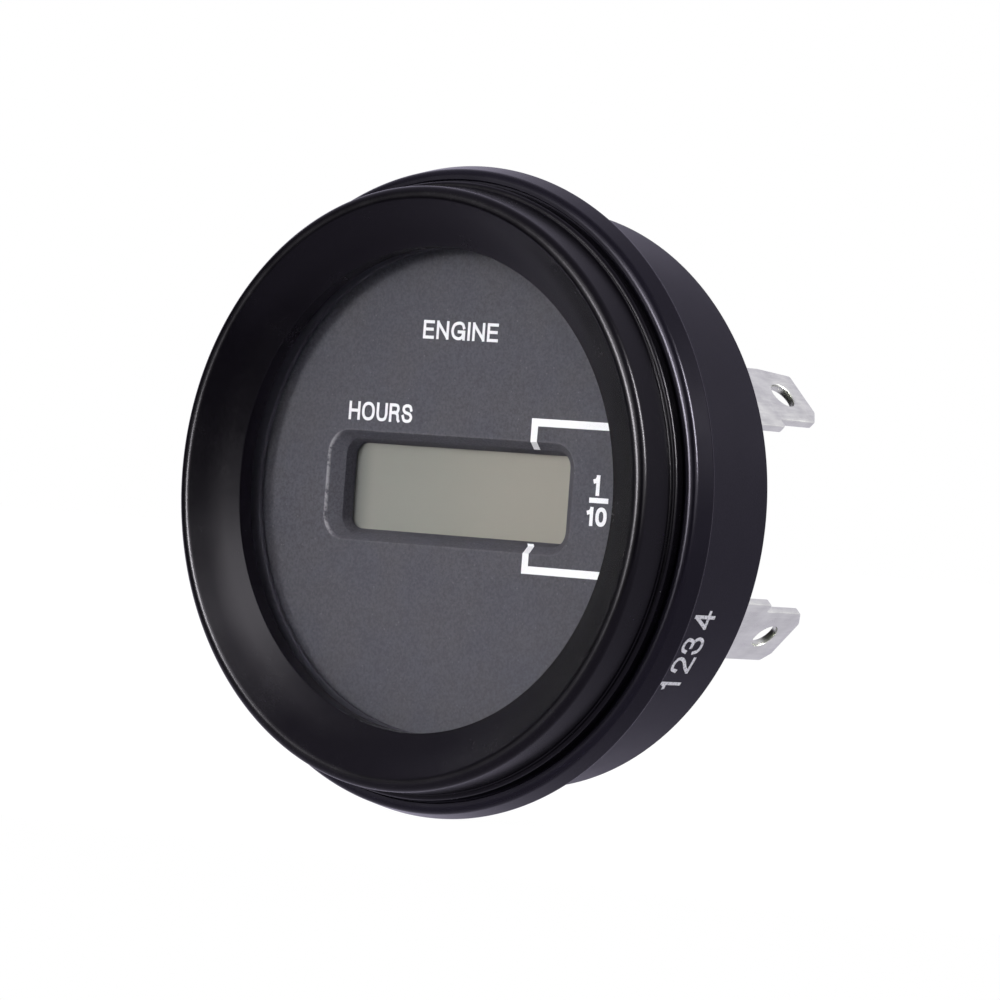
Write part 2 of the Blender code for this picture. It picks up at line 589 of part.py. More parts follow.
def make_board(workshop, material):
    """Cut the circuit board: a disc with clearance for the screws and the terminals' legs."""
    profile = disc_profile(BOARD_RADIUS, BOARD_BACK, BOARD_TOP)
    board = turned("circuit_board", profile, workshop, material, INNER_TURN_STEPS, closed=False)
    for index, bearing in enumerate(SCREW_ANGLES, start=1):
        x, y = bearing_point(SCREW_CIRCLE, bearing)
        profile = disc_profile(SCREW_RADIUS + SEAT_GAP, BOARD_BACK - 1.0, BOARD_TOP + 1.0)
        hole = turned(f"board_hole_{index}", profile, workshop, steps=SMALL_TURN_STEPS, closed=False)
        hole.location = (x * MM, y * MM, 0.0)
        boolean(board, "DIFFERENCE", hole)
    size = (BLADE_LEG_WIDTH + 2 * SEAT_GAP, BLADE_THICKNESS + 2 * SEAT_GAP)
    for name, side in (("leg_slot_upper", 1.0), ("leg_slot_lower", -1.0)):
        slot = blade_slot_tool(name, side, size, BOARD_BACK - 1.0, BOARD_TOP + 1.0, workshop)
        boolean(board, "DIFFERENCE", slot)
    return board


def make_screws(workshop, material):
    """Turn the four slotted screws that hold the board to the dial's bosses."""
    top = BOARD_TOP + SEAT_GAP + SCREW_BITE
    head_front = BOARD_BACK - SEAT_GAP
    head_back = head_front - SCREW_HEAD_HEIGHT
    crown = SCREW_HEAD_HEIGHT / 3
    profile = [(0.0, top), (SCREW_RADIUS - 0.3, top), (SCREW_RADIUS, top - 0.4)]
    profile += [(SCREW_RADIUS, head_front), (SCREW_HEAD_RADIUS, head_front)]
    profile += [(SCREW_HEAD_RADIUS, head_back + crown), (SCREW_HEAD_RADIUS - crown, head_back)]
    profile += [(0.0, head_back)]
    for index, bearing in enumerate(SCREW_ANGLES, start=1):
        x, y = bearing_point(SCREW_CIRCLE, bearing)
        name = f"board_screw_{index}"
        screw = turned(name, profile, workshop, material, steps=SMALL_TURN_STEPS, closed=False)
        screw.location = (x * MM, y * MM, 0.0)
        slot = block(f"screw_slot_{index}", (4 * SCREW_HEAD_RADIUS, SCREW_SLOT), head_back - 1.0,
                     head_back + crown, workshop, place=(x, y), bearing=bearing)
        boolean(screw, "DIFFERENCE", slot)


def make_memory_chip(workshop, material):
    """Mould the memory chip and join its bent leads."""
    back = BOARD_BACK - FILM_GAP - CHIP_SIZE[2]
    front = BOARD_BACK - FILM_GAP - 0.1
    chip = block("memory_chip", CHIP_SIZE[:2], back, front, workshop, material, place=CHIP_PLACE,
                 shrink=(COMPONENT_BEVEL, COMPONENT_BEVEL))
    width, reach, height = LEAD_SIZE
    start = -(CHIP_LEADS - 1) / 2 * CHIP_PITCH
    for side in (-1.0, 1.0):
        for index in range(CHIP_LEADS):
            x = CHIP_PLACE[0] + start + index * CHIP_PITCH
            y = CHIP_PLACE[1] + side * CHIP_SIZE[1] / 2
            lead = block(f"lead_{index}_{int(side)}", (width, 2 * reach), front - height,
                         BOARD_BACK - FILM_GAP, workshop, place=(x, y))
            boolean(chip, "UNION", lead)
    return chip


def make_components(workshop, materials):
    """Add what is soldered to the back of the board."""
    seat = BOARD_BACK - FILM_GAP
    blob = [(0.0, seat), (BLOB_RADIUS, seat)]
    blob += [(BLOB_RADIUS * math.cos(a), seat - BLOB_HEIGHT * math.sin(a))
             for a in (math.radians(15.0 * i) for i in range(1, 6))]
    blob += [(0.0, seat - BLOB_HEIGHT)]
    turned("driver_chip", blob, workshop, materials["epoxy"], steps=SMALL_TURN_STEPS, closed=False)
    make_memory_chip(workshop, materials["epoxy"])

    can = disc_profile(CRYSTAL_RADIUS, -CRYSTAL_LENGTH / 2, CRYSTAL_LENGTH / 2, 0.2)
    crystal = turned("quartz_crystal", can, workshop, materials["tin"], steps=SMALL_TURN_STEPS,
                     closed=False)
    crystal.rotation_euler = (0.0, math.radians(90.0), 0.0)
    crystal.location = (CRYSTAL_PLACE[0] * MM, CRYSTAL_PLACE[1] * MM, (seat - CRYSTAL_RADIUS) * MM)

    width = 2 * CAPACITOR_RADIUS
    base = block("filter_capacitor", (width + 0.4, width + 0.4), seat - CAPACITOR_BASE, seat,
                 workshop, materials["tin"], place=CAPACITOR_PLACE, corner_radius=COMPONENT_BEVEL * 3)
    can = disc_profile(CAPACITOR_RADIUS, seat - CAPACITOR_HEIGHT, seat - CAPACITOR_BASE / 2, 0.2)
    body = turned("capacitor_can", can, workshop, steps=SMALL_TURN_STEPS, closed=False)
    body.location = (CAPACITOR_PLACE[0] * MM, CAPACITOR_PLACE[1] * MM, 0.0)
    boolean(base, "UNION", body)

    for index, place in enumerate(RESISTOR_PLACES, start=1):
        part = block(f"resistor_{index}", RESISTOR_SIZE[:2], seat - RESISTOR_SIZE[2], seat, workshop,
                     materials["epoxy"], place=place)
        soften(part, COMPONENT_BEVEL)
    for index, place in enumerate(DIODE_PLACES, start=1):
        part = block(f"diode_{index}", DIODE_SIZE[:2], seat - DIODE_SIZE[2], seat, workshop,
                     materials["epoxy"], place=place)
        soften(part, 2 * COMPONENT_BEVEL)


def make_rear_cover(workshop, material):
    """Mould the rear cover: a disc with a shallow dish, and a slotted boss round each terminal."""
    edge = 0.2
    profile = [(0.0, COVER_FRONT), (FITTED_RADIUS - edge, COVER_FRONT)]
    profile += [(FITTED_RADIUS, COVER_FRONT - edge), (FITTED_RADIUS, COVER_BACK + edge)]
    profile += [(FITTED_RADIUS - edge, COVER_BACK), (COVER_DISH_RADIUS, COVER_BACK)]
    profile += [(COVER_DISH_RADIUS - COVER_DISH_DEPTH, COVER_BACK + COVER_DISH_DEPTH)]
    profile += [(0.0, COVER_BACK + COVER_DISH_DEPTH)]
    cover = turned("rear_cover", profile, workshop, material, INNER_TURN_STEPS, closed=False)
    root = BLADE_WIDTH + 2 * BLADE_SHOULDER
    slot = (root + 2 * SEAT_GAP, BLADE_THICKNESS + 2 * SEAT_GAP)
    boss = (slot[0] + 2 * COVER_BOSS_MARGIN, slot[1] + 2 * COVER_BOSS_MARGIN)
    boss_back = COVER_BACK - COVER_BOSS_HEIGHT
    profile = disc_profile(FITTED_RADIUS - edge / 2, boss_back - 1.0, COVER_FRONT + 1.0)
    rim = turned("cover_rim", profile, workshop, steps=INNER_TURN_STEPS, closed=False)
    for name, side in (("upper", 1.0), ("lower", -1.0)):
        pad = blade_slot_tool(f"terminal_boss_{name}", side, boss, boss_back, COVER_FRONT - edge,
                              workshop, corner_radius=COVER_BOSS_CORNER)
        boolean(pad, "INTERSECT", rim)
        boolean(cover, "UNION", pad)
        cut = blade_slot_tool(f"terminal_slot_{name}", side, slot,
                              boss_back - 1.0, COVER_FRONT + 1.0, workshop)
        boolean(cover, "DIFFERENCE", cut)
    return cover


def make_materials():
    """Return the meter's materials by name."""
    return {
        "bezel": make_material("bezel_black", (0.010, 0.010, 0.012), 0.22),
        "case": make_material("case_black", (0.022, 0.021, 0.027), 0.55),
        "dial": make_material("dial_grey", (0.105, 0.103, 0.118), 0.6),
        "inner": make_material("inner_black", (0.013, 0.013, 0.015), 0.6),
        "clear": make_material("lens_clear", (1.0, 1.0, 1.0), 0.03, transmission=1.0),
        "rubber": make_material("gasket_rubber", (0.02, 0.02, 0.02), 0.8),
        "polariser": make_material("polariser_film", (0.28, 0.27, 0.23), 0.35),
        "glass": make_material("display_glass", (0.9, 0.93, 0.9), 0.05, transmission=1.0),
        "reflector": make_material("reflector_foil", (0.30, 0.29, 0.25), 0.4, metallic=0.2),
        "holder": make_material("holder_white", (0.75, 0.75, 0.72), 0.5),
        "strip": make_material("connector_rubber", (0.45, 0.2, 0.18), 0.7),
        "board": make_material("board_green", (0.02, 0.12, 0.04), 0.4),
        "epoxy": make_material("component_black", (0.02, 0.02, 0.02), 0.45),
        "tin": make_material("tinned_metal", (0.55, 0.54, 0.56), 0.32, metallic=1.0),
        "steel": make_material("screw_steel", (0.5, 0.5, 0.5), 0.3, metallic=1.0),
    }


def main():
    """Build the hour meter."""
    for obj in list(bpy.data.objects):
        bpy.data.objects.remove(obj)
    workshop = {
        "parts": make_collection(COLLECTION_NAME),
        "cutters": make_collection(CUTTER_COLLECTION_NAME),
    }
    turn = bpy.data.objects.new("meter_axis", None)
    turn.rotation_euler = (math.radians(90.0), 0.0, 0.0)
    workshop["parts"].objects.link(turn)
    workshop["turn"] = turn
    materials = make_materials()

    make_case(workshop, materials["case"])
    make_bezel(workshop, materials["bezel"])
    make_lens_and_seal(workshop, materials)
    make_spacer(workshop, materials["inner"])
    make_dial(workshop, materials["dial"])
    make_display(workshop, materials)
    make_holder(workshop, materials["holder"])
    make_connector_strips(workshop, materials["strip"])
    make_board(workshop, materials["board"])
    make_screws(workshop, materials["steel"])
    make_components(workshop, materials)
    make_rear_cover(workshop, materials["case"])
    make_terminal("terminal_upper", 1.0, UPPER_OUTER_TAPER, workshop, materials["tin"])
    make_terminal("terminal_lower", -1.0, LOWER_OUTER_TAPER, workshop, materials["tin"])


main()
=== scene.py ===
"""Looks of a round panel hour meter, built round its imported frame.

World axes: X to the right of the dial, Y backwards along the meter's axis, Z up. The dial faces -Y
and the plane y = 0 is the panel. Lengths are millimetres in this file and become metres through MM.
"""

import logging
import math
from dataclasses import dataclass, field
from enum import Enum
from typing import Mapping, Optional, Sequence, Union

import bmesh
import bpy
import numpy as np
from mathutils import Matrix, Vector
from mathutils.geometry import delaunay_2d_cdt


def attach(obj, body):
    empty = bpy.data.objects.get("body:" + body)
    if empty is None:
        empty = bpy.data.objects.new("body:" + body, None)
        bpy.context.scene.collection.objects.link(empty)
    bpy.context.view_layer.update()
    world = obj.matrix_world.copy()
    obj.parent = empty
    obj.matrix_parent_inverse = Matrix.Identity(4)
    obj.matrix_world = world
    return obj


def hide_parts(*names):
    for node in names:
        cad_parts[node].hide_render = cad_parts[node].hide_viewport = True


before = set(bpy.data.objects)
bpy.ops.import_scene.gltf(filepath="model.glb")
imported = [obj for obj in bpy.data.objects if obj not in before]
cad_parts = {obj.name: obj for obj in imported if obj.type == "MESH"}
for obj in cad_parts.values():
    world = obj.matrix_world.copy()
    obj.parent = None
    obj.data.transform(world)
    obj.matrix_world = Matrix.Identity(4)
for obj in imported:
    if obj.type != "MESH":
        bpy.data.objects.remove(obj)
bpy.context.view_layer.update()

MM = 0.001
AXIS = 0.02  # the radius at which a solid turned from axis to axis begins and ends
Array = np.ndarray
Colour = tuple[float, float, float]
log = logging.getLogger("hour_meter")

WINDOW_MOUTH = (14.2, 4.9, 2.3)  # the display window: half width, half height, corner radius
BLADE_CENTRE = (19.2962, 10.8285)  # the middle of a blade's outer face: across, and up or down
BLADE_THICKNESS = 0.8
SHARP = 40.0  # edges of print and of stampings that turn by more than these degrees stay sharp
DUST: Colour = (0.30, 0.30, 0.33)


# Geometry -----------------------------------------------------------------------------------------


@dataclass
class Surface:
    """Points in millimetres with the quads and triangles that join them."""

    points: Array
    quads: Array = field(default_factory=lambda: np.zeros((0, 4), int))
    triangles: Array = field(default_factory=lambda: np.zeros((0, 3), int))

    def volume(self) -> float:
        """Measure the closed surface.

        Returns:
            Six times the enclosed volume: each triangle's corners as a triple product, summed.
        """
        split = np.concatenate([self.quads[:, [0, 1, 2]], self.quads[:, [0, 2, 3]], self.triangles])
        first, second, third = (self.points[split[:, i]] for i in range(3))
        return float(np.einsum("ij,ij->", first, np.cross(second, third)))

    def outward(self) -> "Surface":
        """Turn the closed surface's faces to point outwards.

        Returns:
            The surface, or a copy with each face's corners in the opposite order.
        """
        if self.volume() >= 0.0:
            return self
        return Surface(self.points, self.quads[:, ::-1], self.triangles[:, ::-1])

    def joined(self, other: "Surface") -> "Surface":
        """Put another surface with this one.

        Args:
            other: the surface to add.

        Returns:
            Both as one, with the other's points numbered after this one's.
        """
        shift = len(self.points)
        return Surface(
            np.concatenate([self.points, other.points]),
            np.concatenate([self.quads, other.quads + shift]),
            np.concatenate([self.triangles, other.triangles + shift]),
        )

    def moved(self, basis: Array, place: Sequence[float]) -> "Surface":
        """Return the surface in another frame: place plus each point times the rows of basis."""
        return Surface(self.points @ np.asarray(basis, float) + np.asarray(place), self.quads,
                       self.triangles)

    def mesh(self, name: str, scale: float = MM, sharp: Optional[float] = None) -> bpy.types.Mesh:
        """Make a smooth mesh of the surface.

        Args:
            name: the mesh's name.
            scale: the size of a millimetre in it, 1 for a mesh that is worked on in millimetres.
            sharp: edges that turn by more than this many degrees stay sharp, if it is given.

        Returns:
            The mesh.
        """
        mesh = bpy.data.meshes.new(name)
        faces = self.quads.tolist() + self.triangles.tolist()
        mesh.from_pydata((self.points * scale).tolist(), [], faces)
        mesh.shade_smooth()
        mesh.update()
        if sharp is not None:
            mesh.set_sharp_from_angle(angle=math.radians(sharp))
        return mesh


def rounded(corners: Sequence[Sequence[float]], radii: Sequence[float], closed: bool = False,
            facets: int = 8, hold: float = 0.02) -> Array:
    """Round the corners of a path of any dimension.

    With unit directions a and b from a corner along its two sides, and h half the angle between
    them, the arc's centre lies r / sin h along their bisector and the arc starts r / tan h from the
    corner. Its points are the spherical blend of its two end radii. A holding point just outside
    each end keeps the flat parts flat when they are shaded smooth.

    Args:
        corners: the path's corners, one row each.
        radii: the rounding of each corner, 0 for a sharp one.
        closed: whether the path returns to its first corner.
        facets: steps in each arc.
        hold: distance from an arc's end to its holding point.

    Returns:
        The points of the rounded path, one row each.
    """
    path = np.asarray(corners, float)
    radius = np.asarray(radii, float)
    back = np.roll(path, 1, axis=0) - path
    ahead = np.roll(path, -1, axis=0) - path
    back /= np.linalg.norm(back, axis=1, keepdims=True)
    ahead /= np.linalg.norm(ahead, axis=1, keepdims=True)
    half = np.arccos(np.clip((back * ahead).sum(axis=1), -0.999999, 0.999999)) / 2
    bisector = back + ahead
    bisector /= np.maximum(np.linalg.norm(bisector, axis=1, keepdims=True), 1e-9)
    centre = path + bisector * (radius / np.sin(half))[:, None]
    reach = (radius / np.tan(half))[:, None]
    start = path + back * reach - centre
    end = path + ahead * reach - centre
    turn = np.pi - 2 * half
    step = np.linspace(0.0, 1.0, facets + 1)[None, :]
    first = np.sin((1 - step) * turn[:, None]) / np.sin(turn)[:, None]
    last = np.sin(step * turn[:, None]) / np.sin(turn)[:, None]
    arcs = centre[:, None] + first[..., None] * start[:, None] + last[..., None] * end[:, None]
    rows = np.concatenate([(path + back * (reach + hold))[:, None], arcs,
                           (path + ahead * (reach + hold))[:, None]], axis=1)
    if not closed:
        rows[0] = path[0]
        rows[-1] = path[-1]
    points = rows.reshape(-1, path.shape[1])
    step_length = np.linalg.norm(points - np.roll(points, 1, axis=0), axis=1)
    fresh = step_length > 1e-5
    fresh[0] = fresh[0] or not closed
    return points[fresh]


def grid_faces(rows: int, columns: int, wrap_rows: bool, wrap_columns: bool) -> Array:
    """Return the quads of a grid of points numbered row by row.

    Args:
        rows: how many rows of points there are.
        columns: how many points are in each row.
        wrap_rows: whether the last row joins the first.
        wrap_columns: whether each row's last point joins its first.

    Returns:
        Four point numbers for each quad.
    """
    row = np.arange(rows if wrap_rows else rows - 1)
    column = np.arange(columns if wrap_columns else columns - 1)
    i, j = np.meshgrid(row, column, indexing="ij")
    after_i, after_j = (i + 1) % rows, (j + 1) % columns
    corners = [i * columns + j, after_i * columns + j, after_i * columns + after_j,
               i * columns + after_j]
    return np.stack(corners, axis=-1).reshape(-1, 4)


def swept(rings: Array, closed: bool) -> Surface:
    """Join rings of points into a closed surface.

    Args:
        rings: points as (ring, place round the ring, coordinate).
        closed: whether the last ring joins the first. Otherwise each end is closed by a fan round
            the middle of its ring.

    Returns:
        The surface, facing outwards.
    """
    count, around = rings.shape[:2]
    quads = grid_faces(count, around, closed, True)
    points = rings.reshape(-1, 3)
    if closed:
        return Surface(points, quads).outward()
    poles = np.stack([rings[0].mean(axis=0), rings[-1].mean(axis=0)])
    place = np.arange(around)
    after = (place + 1) % around
    last = (count - 1) * around
    start = np.stack([after, place, np.full(around, len(points))], axis=1)
    end = np.stack([last + place, last + after, np.full(around, len(points) + 1)], axis=1)
    return Surface(np.concatenate([points, poles]), quads, np.concatenate([start, end])).outward()


def turned(profile: Array, steps: int = 256, closed: bool = True) -> Surface:
    """Turn a profile of (radius, y) about the Y axis: (r cos t, y, r sin t) for t round the circle.

    Args:
        profile: the section's points.
        steps: points round the circle.
        closed: whether the profile's last point joins its first. Otherwise both ends are closed on
            the axis.

    Returns:
        The surface, facing outwards.
    """
    angle = np.linspace(0.0, 2 * np.pi, steps, endpoint=False)
    radius, height = profile[:, :1], profile[:, 1:]
    rings = np.stack([radius * np.cos(angle), height + 0.0 * angle, radius * np.sin(angle)],
                     axis=-1)
    return swept(rings, closed)


def lofted(path: Array, per_quarter: int = 48, closed: bool = True) -> Surface:
    """Sweep a rounded rectangle that changes along a path.

    Each row of the path is (half width, half height, corner radius, y). A ring's point at angle t
    is its quarter's corner centre, at the half sizes less the radius, plus the radius along t. A
    ring whose half sizes equal its radius is a circle.

    Args:
        path: the rows.
        per_quarter: points round each corner.
        closed: whether the last ring joins the first.

    Returns:
        The surface, facing outwards.
    """
    angle = (np.arange(4 * per_quarter) + 0.5) * np.pi / (2 * per_quarter)
    side_x = np.sign(np.cos(angle))
    side_z = np.sign(np.sin(angle))
    half_x, half_z, radius, height = (path[:, i:i + 1] for i in range(4))
    rings = np.stack([side_x * (half_x - radius) + radius * np.cos(angle), height + 0.0 * angle,
                      side_z * (half_z - radius) + radius * np.sin(angle)], axis=-1)
    return swept(rings, closed)


def carved(name: str, base: Surface, steps: Sequence[tuple[str, Surface]],
           sharp: float = 25.0) -> bpy.types.Mesh:
    """Join and cut surfaces exactly, at a thousand times their size so that no detail is lost.

    Args:
        name: the mesh's name.
        base: the surface that is worked on.
        steps: each operation and its tool, in order.
        sharp: edges that turn by more than this many degrees stay sharp.

    Returns:
        The mesh, smooth but for its sharp edges.
    """
    scratch = [bpy.data.objects.new(name, base.mesh(name, 1.0))]
    for operation, tool in steps:
        scratch.append(bpy.data.objects.new(f"{name}_tool", tool.mesh(f"{name}_tool", 1.0)))
        modifier = scratch[0].modifiers.new("carve", "BOOLEAN")
        modifier.operation = operation
        modifier.solver = "EXACT"
        modifier.object = scratch[-1]
    for obj in scratch:
        bpy.context.scene.collection.objects.link(obj)
    depsgraph = bpy.context.evaluated_depsgraph_get()
    mesh = bpy.data.meshes.new_from_object(scratch[0].evaluated_get(depsgraph))
    for obj in scratch:
        data = obj.data
        bpy.data.objects.remove(obj)
        bpy.data.meshes.remove(data)
    mesh.name = name
    set_mesh_points(mesh, mesh_points(mesh))
    mesh.set_sharp_from_angle(angle=math.radians(sharp))
    return mesh


def flat_mesh(name: str, curve: bpy.types.Curve) -> bpy.types.Mesh:
    """Make a mesh of a filled curve and remove the curve.

    Args:
        name: the mesh's name.
        curve: the curve's data.

    Returns:
        The mesh, without materials.
    """
    holder = bpy.data.objects.new(name, curve)
    bpy.context.scene.collection.objects.link(holder)
    depsgraph = bpy.context.evaluated_depsgraph_get()
    mesh = bpy.data.meshes.new_from_object(holder.evaluated_get(depsgraph))
    bpy.data.objects.remove(holder)
    mesh.name = name
    mesh.materials.clear()
    return mesh


def mesh_points(mesh: bpy.types.Mesh) -> Array:
    """Read a mesh's points.

    Args:
        mesh: the mesh.

    Returns:
        One row for each point.
    """
    flat = np.empty(len(mesh.vertices) * 3)
    mesh.vertices.foreach_get("co", flat)
    return flat.reshape(-1, 3)


def set_mesh_points(mesh: bpy.types.Mesh, points: Array) -> None:
    """Put points given in millimetres back into a mesh."""
    mesh.vertices.foreach_set("co", (points * MM).ravel())
    mesh.update()


# Shaders ------------------------------------------------------------------------------------------


@dataclass(frozen=True)
class Socket:
    """The output of a shader node, which takes part in arithmetic by adding Math nodes."""

    recipe: "Recipe"
    output: bpy.types.NodeSocket

    def math(self, operation: str, *values: Union["Socket", float]) -> "Socket":
        """Return a Math node's result on these values."""
        return self.recipe.node("ShaderNodeMath", {"operation": operation}, dict(enumerate(values)))

    def __add__(self, other: Union["Socket", float]) -> "Socket":
        """Return the sum."""
        return self.math("ADD", self, other)

    __radd__ = __add__

    def __mul__(self, other: Union["Socket", float]) -> "Socket":
        """Return the product."""
        return self.math("MULTIPLY", self, other)

    __rmul__ = __mul__

    def __sub__(self, other: Union["Socket", float]) -> "Socket":
        """Return the difference."""
        return self.math("SUBTRACT", self, other)

    def __rsub__(self, other: float) -> "Socket":
        """Return the difference from a number."""
        return self.math("SUBTRACT", other, self)

    def __pow__(self, other: float) -> "Socket":
        """Return the power."""
        return self.math("POWER", self, other)

    def __abs__(self) -> "Socket":
        """Return the absolute value."""
        return self.math("ABSOLUTE", self)

    def beside(self, output: Union[str, int]) -> "Socket":
        """Return another output of the same node."""
        return Socket(self.recipe, self.output.node.outputs[output])

    def folded(self, length: float) -> "Socket":
        """Return the value folded back and forth between 0 and a length."""
        return self.math("PINGPONG", self, length)

    def least(self, other: Union["Socket", float]) -> "Socket":
        """Return the smaller value."""
        return self.math("MINIMUM", self, other)

    def most(self, other: Union["Socket", float]) -> "Socket":
        """Return the larger value."""
        return self.math("MAXIMUM", self, other)

    def rise(self, low: float, high: float) -> "Socket":
        """Step smoothly from 0 to 1.

        Args:
            low: the value that gives 0.
            high: the value that gives 1.

        Returns:
            The step's output.
        """
        settings = {"interpolation_type": "SMOOTHSTEP"}
        inputs = {"Value": self, "From Min": low, "From Max": high}
        return self.recipe.node("ShaderNodeMapRange", settings, inputs)


SocketValue = Union[Socket, float, Sequence[float]]


def shaded(colour: Colour, level: float) -> Colour:
    """Return a colour at this many times its brightness."""
    red, green, blue = colour
    return red * level, green * level, blue * level


class Recipe:
    """The node tree of a material or of the world while it is written."""

    def __init__(self, owner: Union[bpy.types.Material, bpy.types.World], end: str) -> None:
        """Start an empty tree.

        Args:
            owner: the new material or world.
            end: the type of its output node.
        """
        self.owner = owner
        owner.use_nodes = True
        self.tree = owner.node_tree
        self.tree.nodes.clear()
        self.end = self.tree.nodes.new(end)

    @classmethod
    def on_material(cls, name: str) -> "Recipe":
        """Start a new material."""
        return cls(bpy.data.materials.new(name), "ShaderNodeOutputMaterial")

    @classmethod
    def on_world(cls, name: str) -> "Recipe":
        """Start a new world."""
        return cls(bpy.data.worlds.new(name), "ShaderNodeOutputWorld")

    def node(self, kind: str, settings: Optional[Mapping[str, object]] = None,
             inputs: Optional[Mapping[Union[str, int], SocketValue]] = None,
             output: Union[str, int] = 0) -> Socket:
        """Add a node.

        Args:
            kind: the node's type.
            settings: its properties, set before its sockets.
            inputs: values or links for its sockets by name or number.
            output: the output to return.

        Returns:
            That output.
        """
        made = self.tree.nodes.new(kind)
        for key, value in (settings or {}).items():
            setattr(made, key, value)
        for key, value in (inputs or {}).items():
            if isinstance(value, Socket):
                self.tree.links.new(value.output, made.inputs[key])
            else:
                made.inputs[key].default_value = value
        return Socket(self, made.outputs[output])

    def place(self) -> Socket:
        """Add the point on the piece, from its Object coordinates.

        Returns:
            The point in millimetres.
        """
        coordinates = self.node("ShaderNodeTexCoord", output="Object")
        return self.node("ShaderNodeVectorMath", {"operation": "SCALE"},
                         {0: coordinates, "Scale": 1000.0})

    def axes(self, place: Socket) -> tuple[Socket, Socket, Socket]:
        """Return the three coordinates of a point."""
        x = self.node("ShaderNodeSeparateXYZ", None, {0: place})
        return x, x.beside(1), x.beside(2)

    def noise(self, place: Socket, size: float, detail: float = 2.0, rough: float = 0.5) -> Socket:
        """Return noise about 0.5 whose features are about as large as size, in millimetres."""
        inputs = {"Vector": place, "Scale": 1.0 / size, "Detail": detail, "Roughness": rough}
        return self.node("ShaderNodeTexNoise", None, inputs)

    def specks(self, place: Socket, spacing: float, size: float, share: float) -> Socket:
        """Scatter small round dots, one in some of the cells of a Voronoi pattern.

        Args:
            place: the point in millimetres.
            spacing: the cells' size.
            size: the dots' radius.
            share: how many of the cells have a dot, from 0 to 1.

        Returns:
            1 in a dot and 0 between them.
        """
        inputs = {"Vector": place, "Scale": 1.0 / spacing}
        distance = self.node("ShaderNodeTexVoronoi", None, inputs, "Distance")
        red = self.node("ShaderNodeSeparateColor", None, {0: distance.beside("Color")})
        dot = 1.0 - distance.rise(0.4 * size / spacing, size / spacing)
        return dot * red.rise(1.0 - share, 1.0 - 0.7 * share)

    def mix(self, factor: SocketValue, first: SocketValue, second: SocketValue) -> Socket:
        """Return a mix of two colours."""
        one, two = (v if isinstance(v, Socket) else (*v, 1.0) for v in (first, second))
        return self.node("ShaderNodeMix", {"data_type": "RGBA"}, {0: factor, 6: one, 7: two}, 2)

    def bump(self, height: Socket, depth: float) -> Socket:
        """Return the normal of a relief, given from 0 to 1, that is depth millimetres high."""
        inputs = {"Strength": 1.0, "Distance": depth * MM, "Height": height}
        return self.node("ShaderNodeBump", None, inputs)

    def principled(self, **sockets: SocketValue) -> Socket:
        """Add a Principled shader.

        Args:
            sockets: values or links for its sockets, by name with _ for each space.

        Returns:
            The shader.
        """
        inputs = {}
        for name, value in sockets.items():
            wide = name in ("Base_Color", "Specular_Tint") and not isinstance(value, Socket)
            inputs[name.replace("_", " ")] = (*value, 1.0) if wide else value
        return self.node("ShaderNodeBsdfPrincipled", None, inputs)

    def finish(self, shader: Socket) -> Union[bpy.types.Material, bpy.types.World]:
        """Send a shader to the output and return the material or the world."""
        self.tree.links.new(shader.output, self.end.inputs["Surface"])
        return self.owner


class Relief(Enum):
    """The texture that a mould leaves on a surface."""

    POLISHED = "polished"
    MATT = "matt"


@dataclass(frozen=True)
class MouldedPlastic:
    """A moulded plastic with its mould's relief, faint flow clouds, and a little dust."""

    name: str
    colour: Colour
    roughness: float
    gloss: float
    relief: Relief = Relief.MATT
    depth: float = 0.004
    cloud: float = 0.15
    dust: float = 0.0
    sheen: Colour = (1.0, 1.0, 1.0)
    cloud_size: float = 4.0
    grain_size: float = 0.35
    wave_size: float = 1.6
    dust_spacing: float = 1.1
    dust_size: float = 0.05

    def material(self) -> bpy.types.Material:
        """Mix the finish.

        Returns:
            The material.
        """
        recipe = Recipe.on_material(self.name)
        place = recipe.place()
        clouds = recipe.noise(place, self.cloud_size, 3.0)
        grain = recipe.noise(place, self.grain_size, 3.0, 0.65)
        dark = shaded(self.colour, 1.0 - self.cloud)
        light = shaded(self.colour, 1.0 + self.cloud)
        colour = recipe.mix(clouds * 0.7 + grain * 0.3, dark, light)
        rough = self.roughness + (clouds - 0.5) * 0.10 + (grain - 0.5) * 0.08
        if self.dust:
            specks = recipe.specks(place, self.dust_spacing, self.dust_size, self.dust)
            colour = recipe.mix(specks * 0.7, colour, DUST)
            rough = rough + specks * 0.4
        polished = self.relief is Relief.POLISHED
        height = recipe.noise(place, self.wave_size, 1.0) if polished else grain
        normal = recipe.bump(height, self.depth)
        shader = recipe.principled(Base_Color=colour, Roughness=rough, Normal=normal,
                                   Specular_IOR_Level=self.gloss, Specular_Tint=self.sheen)
        return recipe.finish(shader)


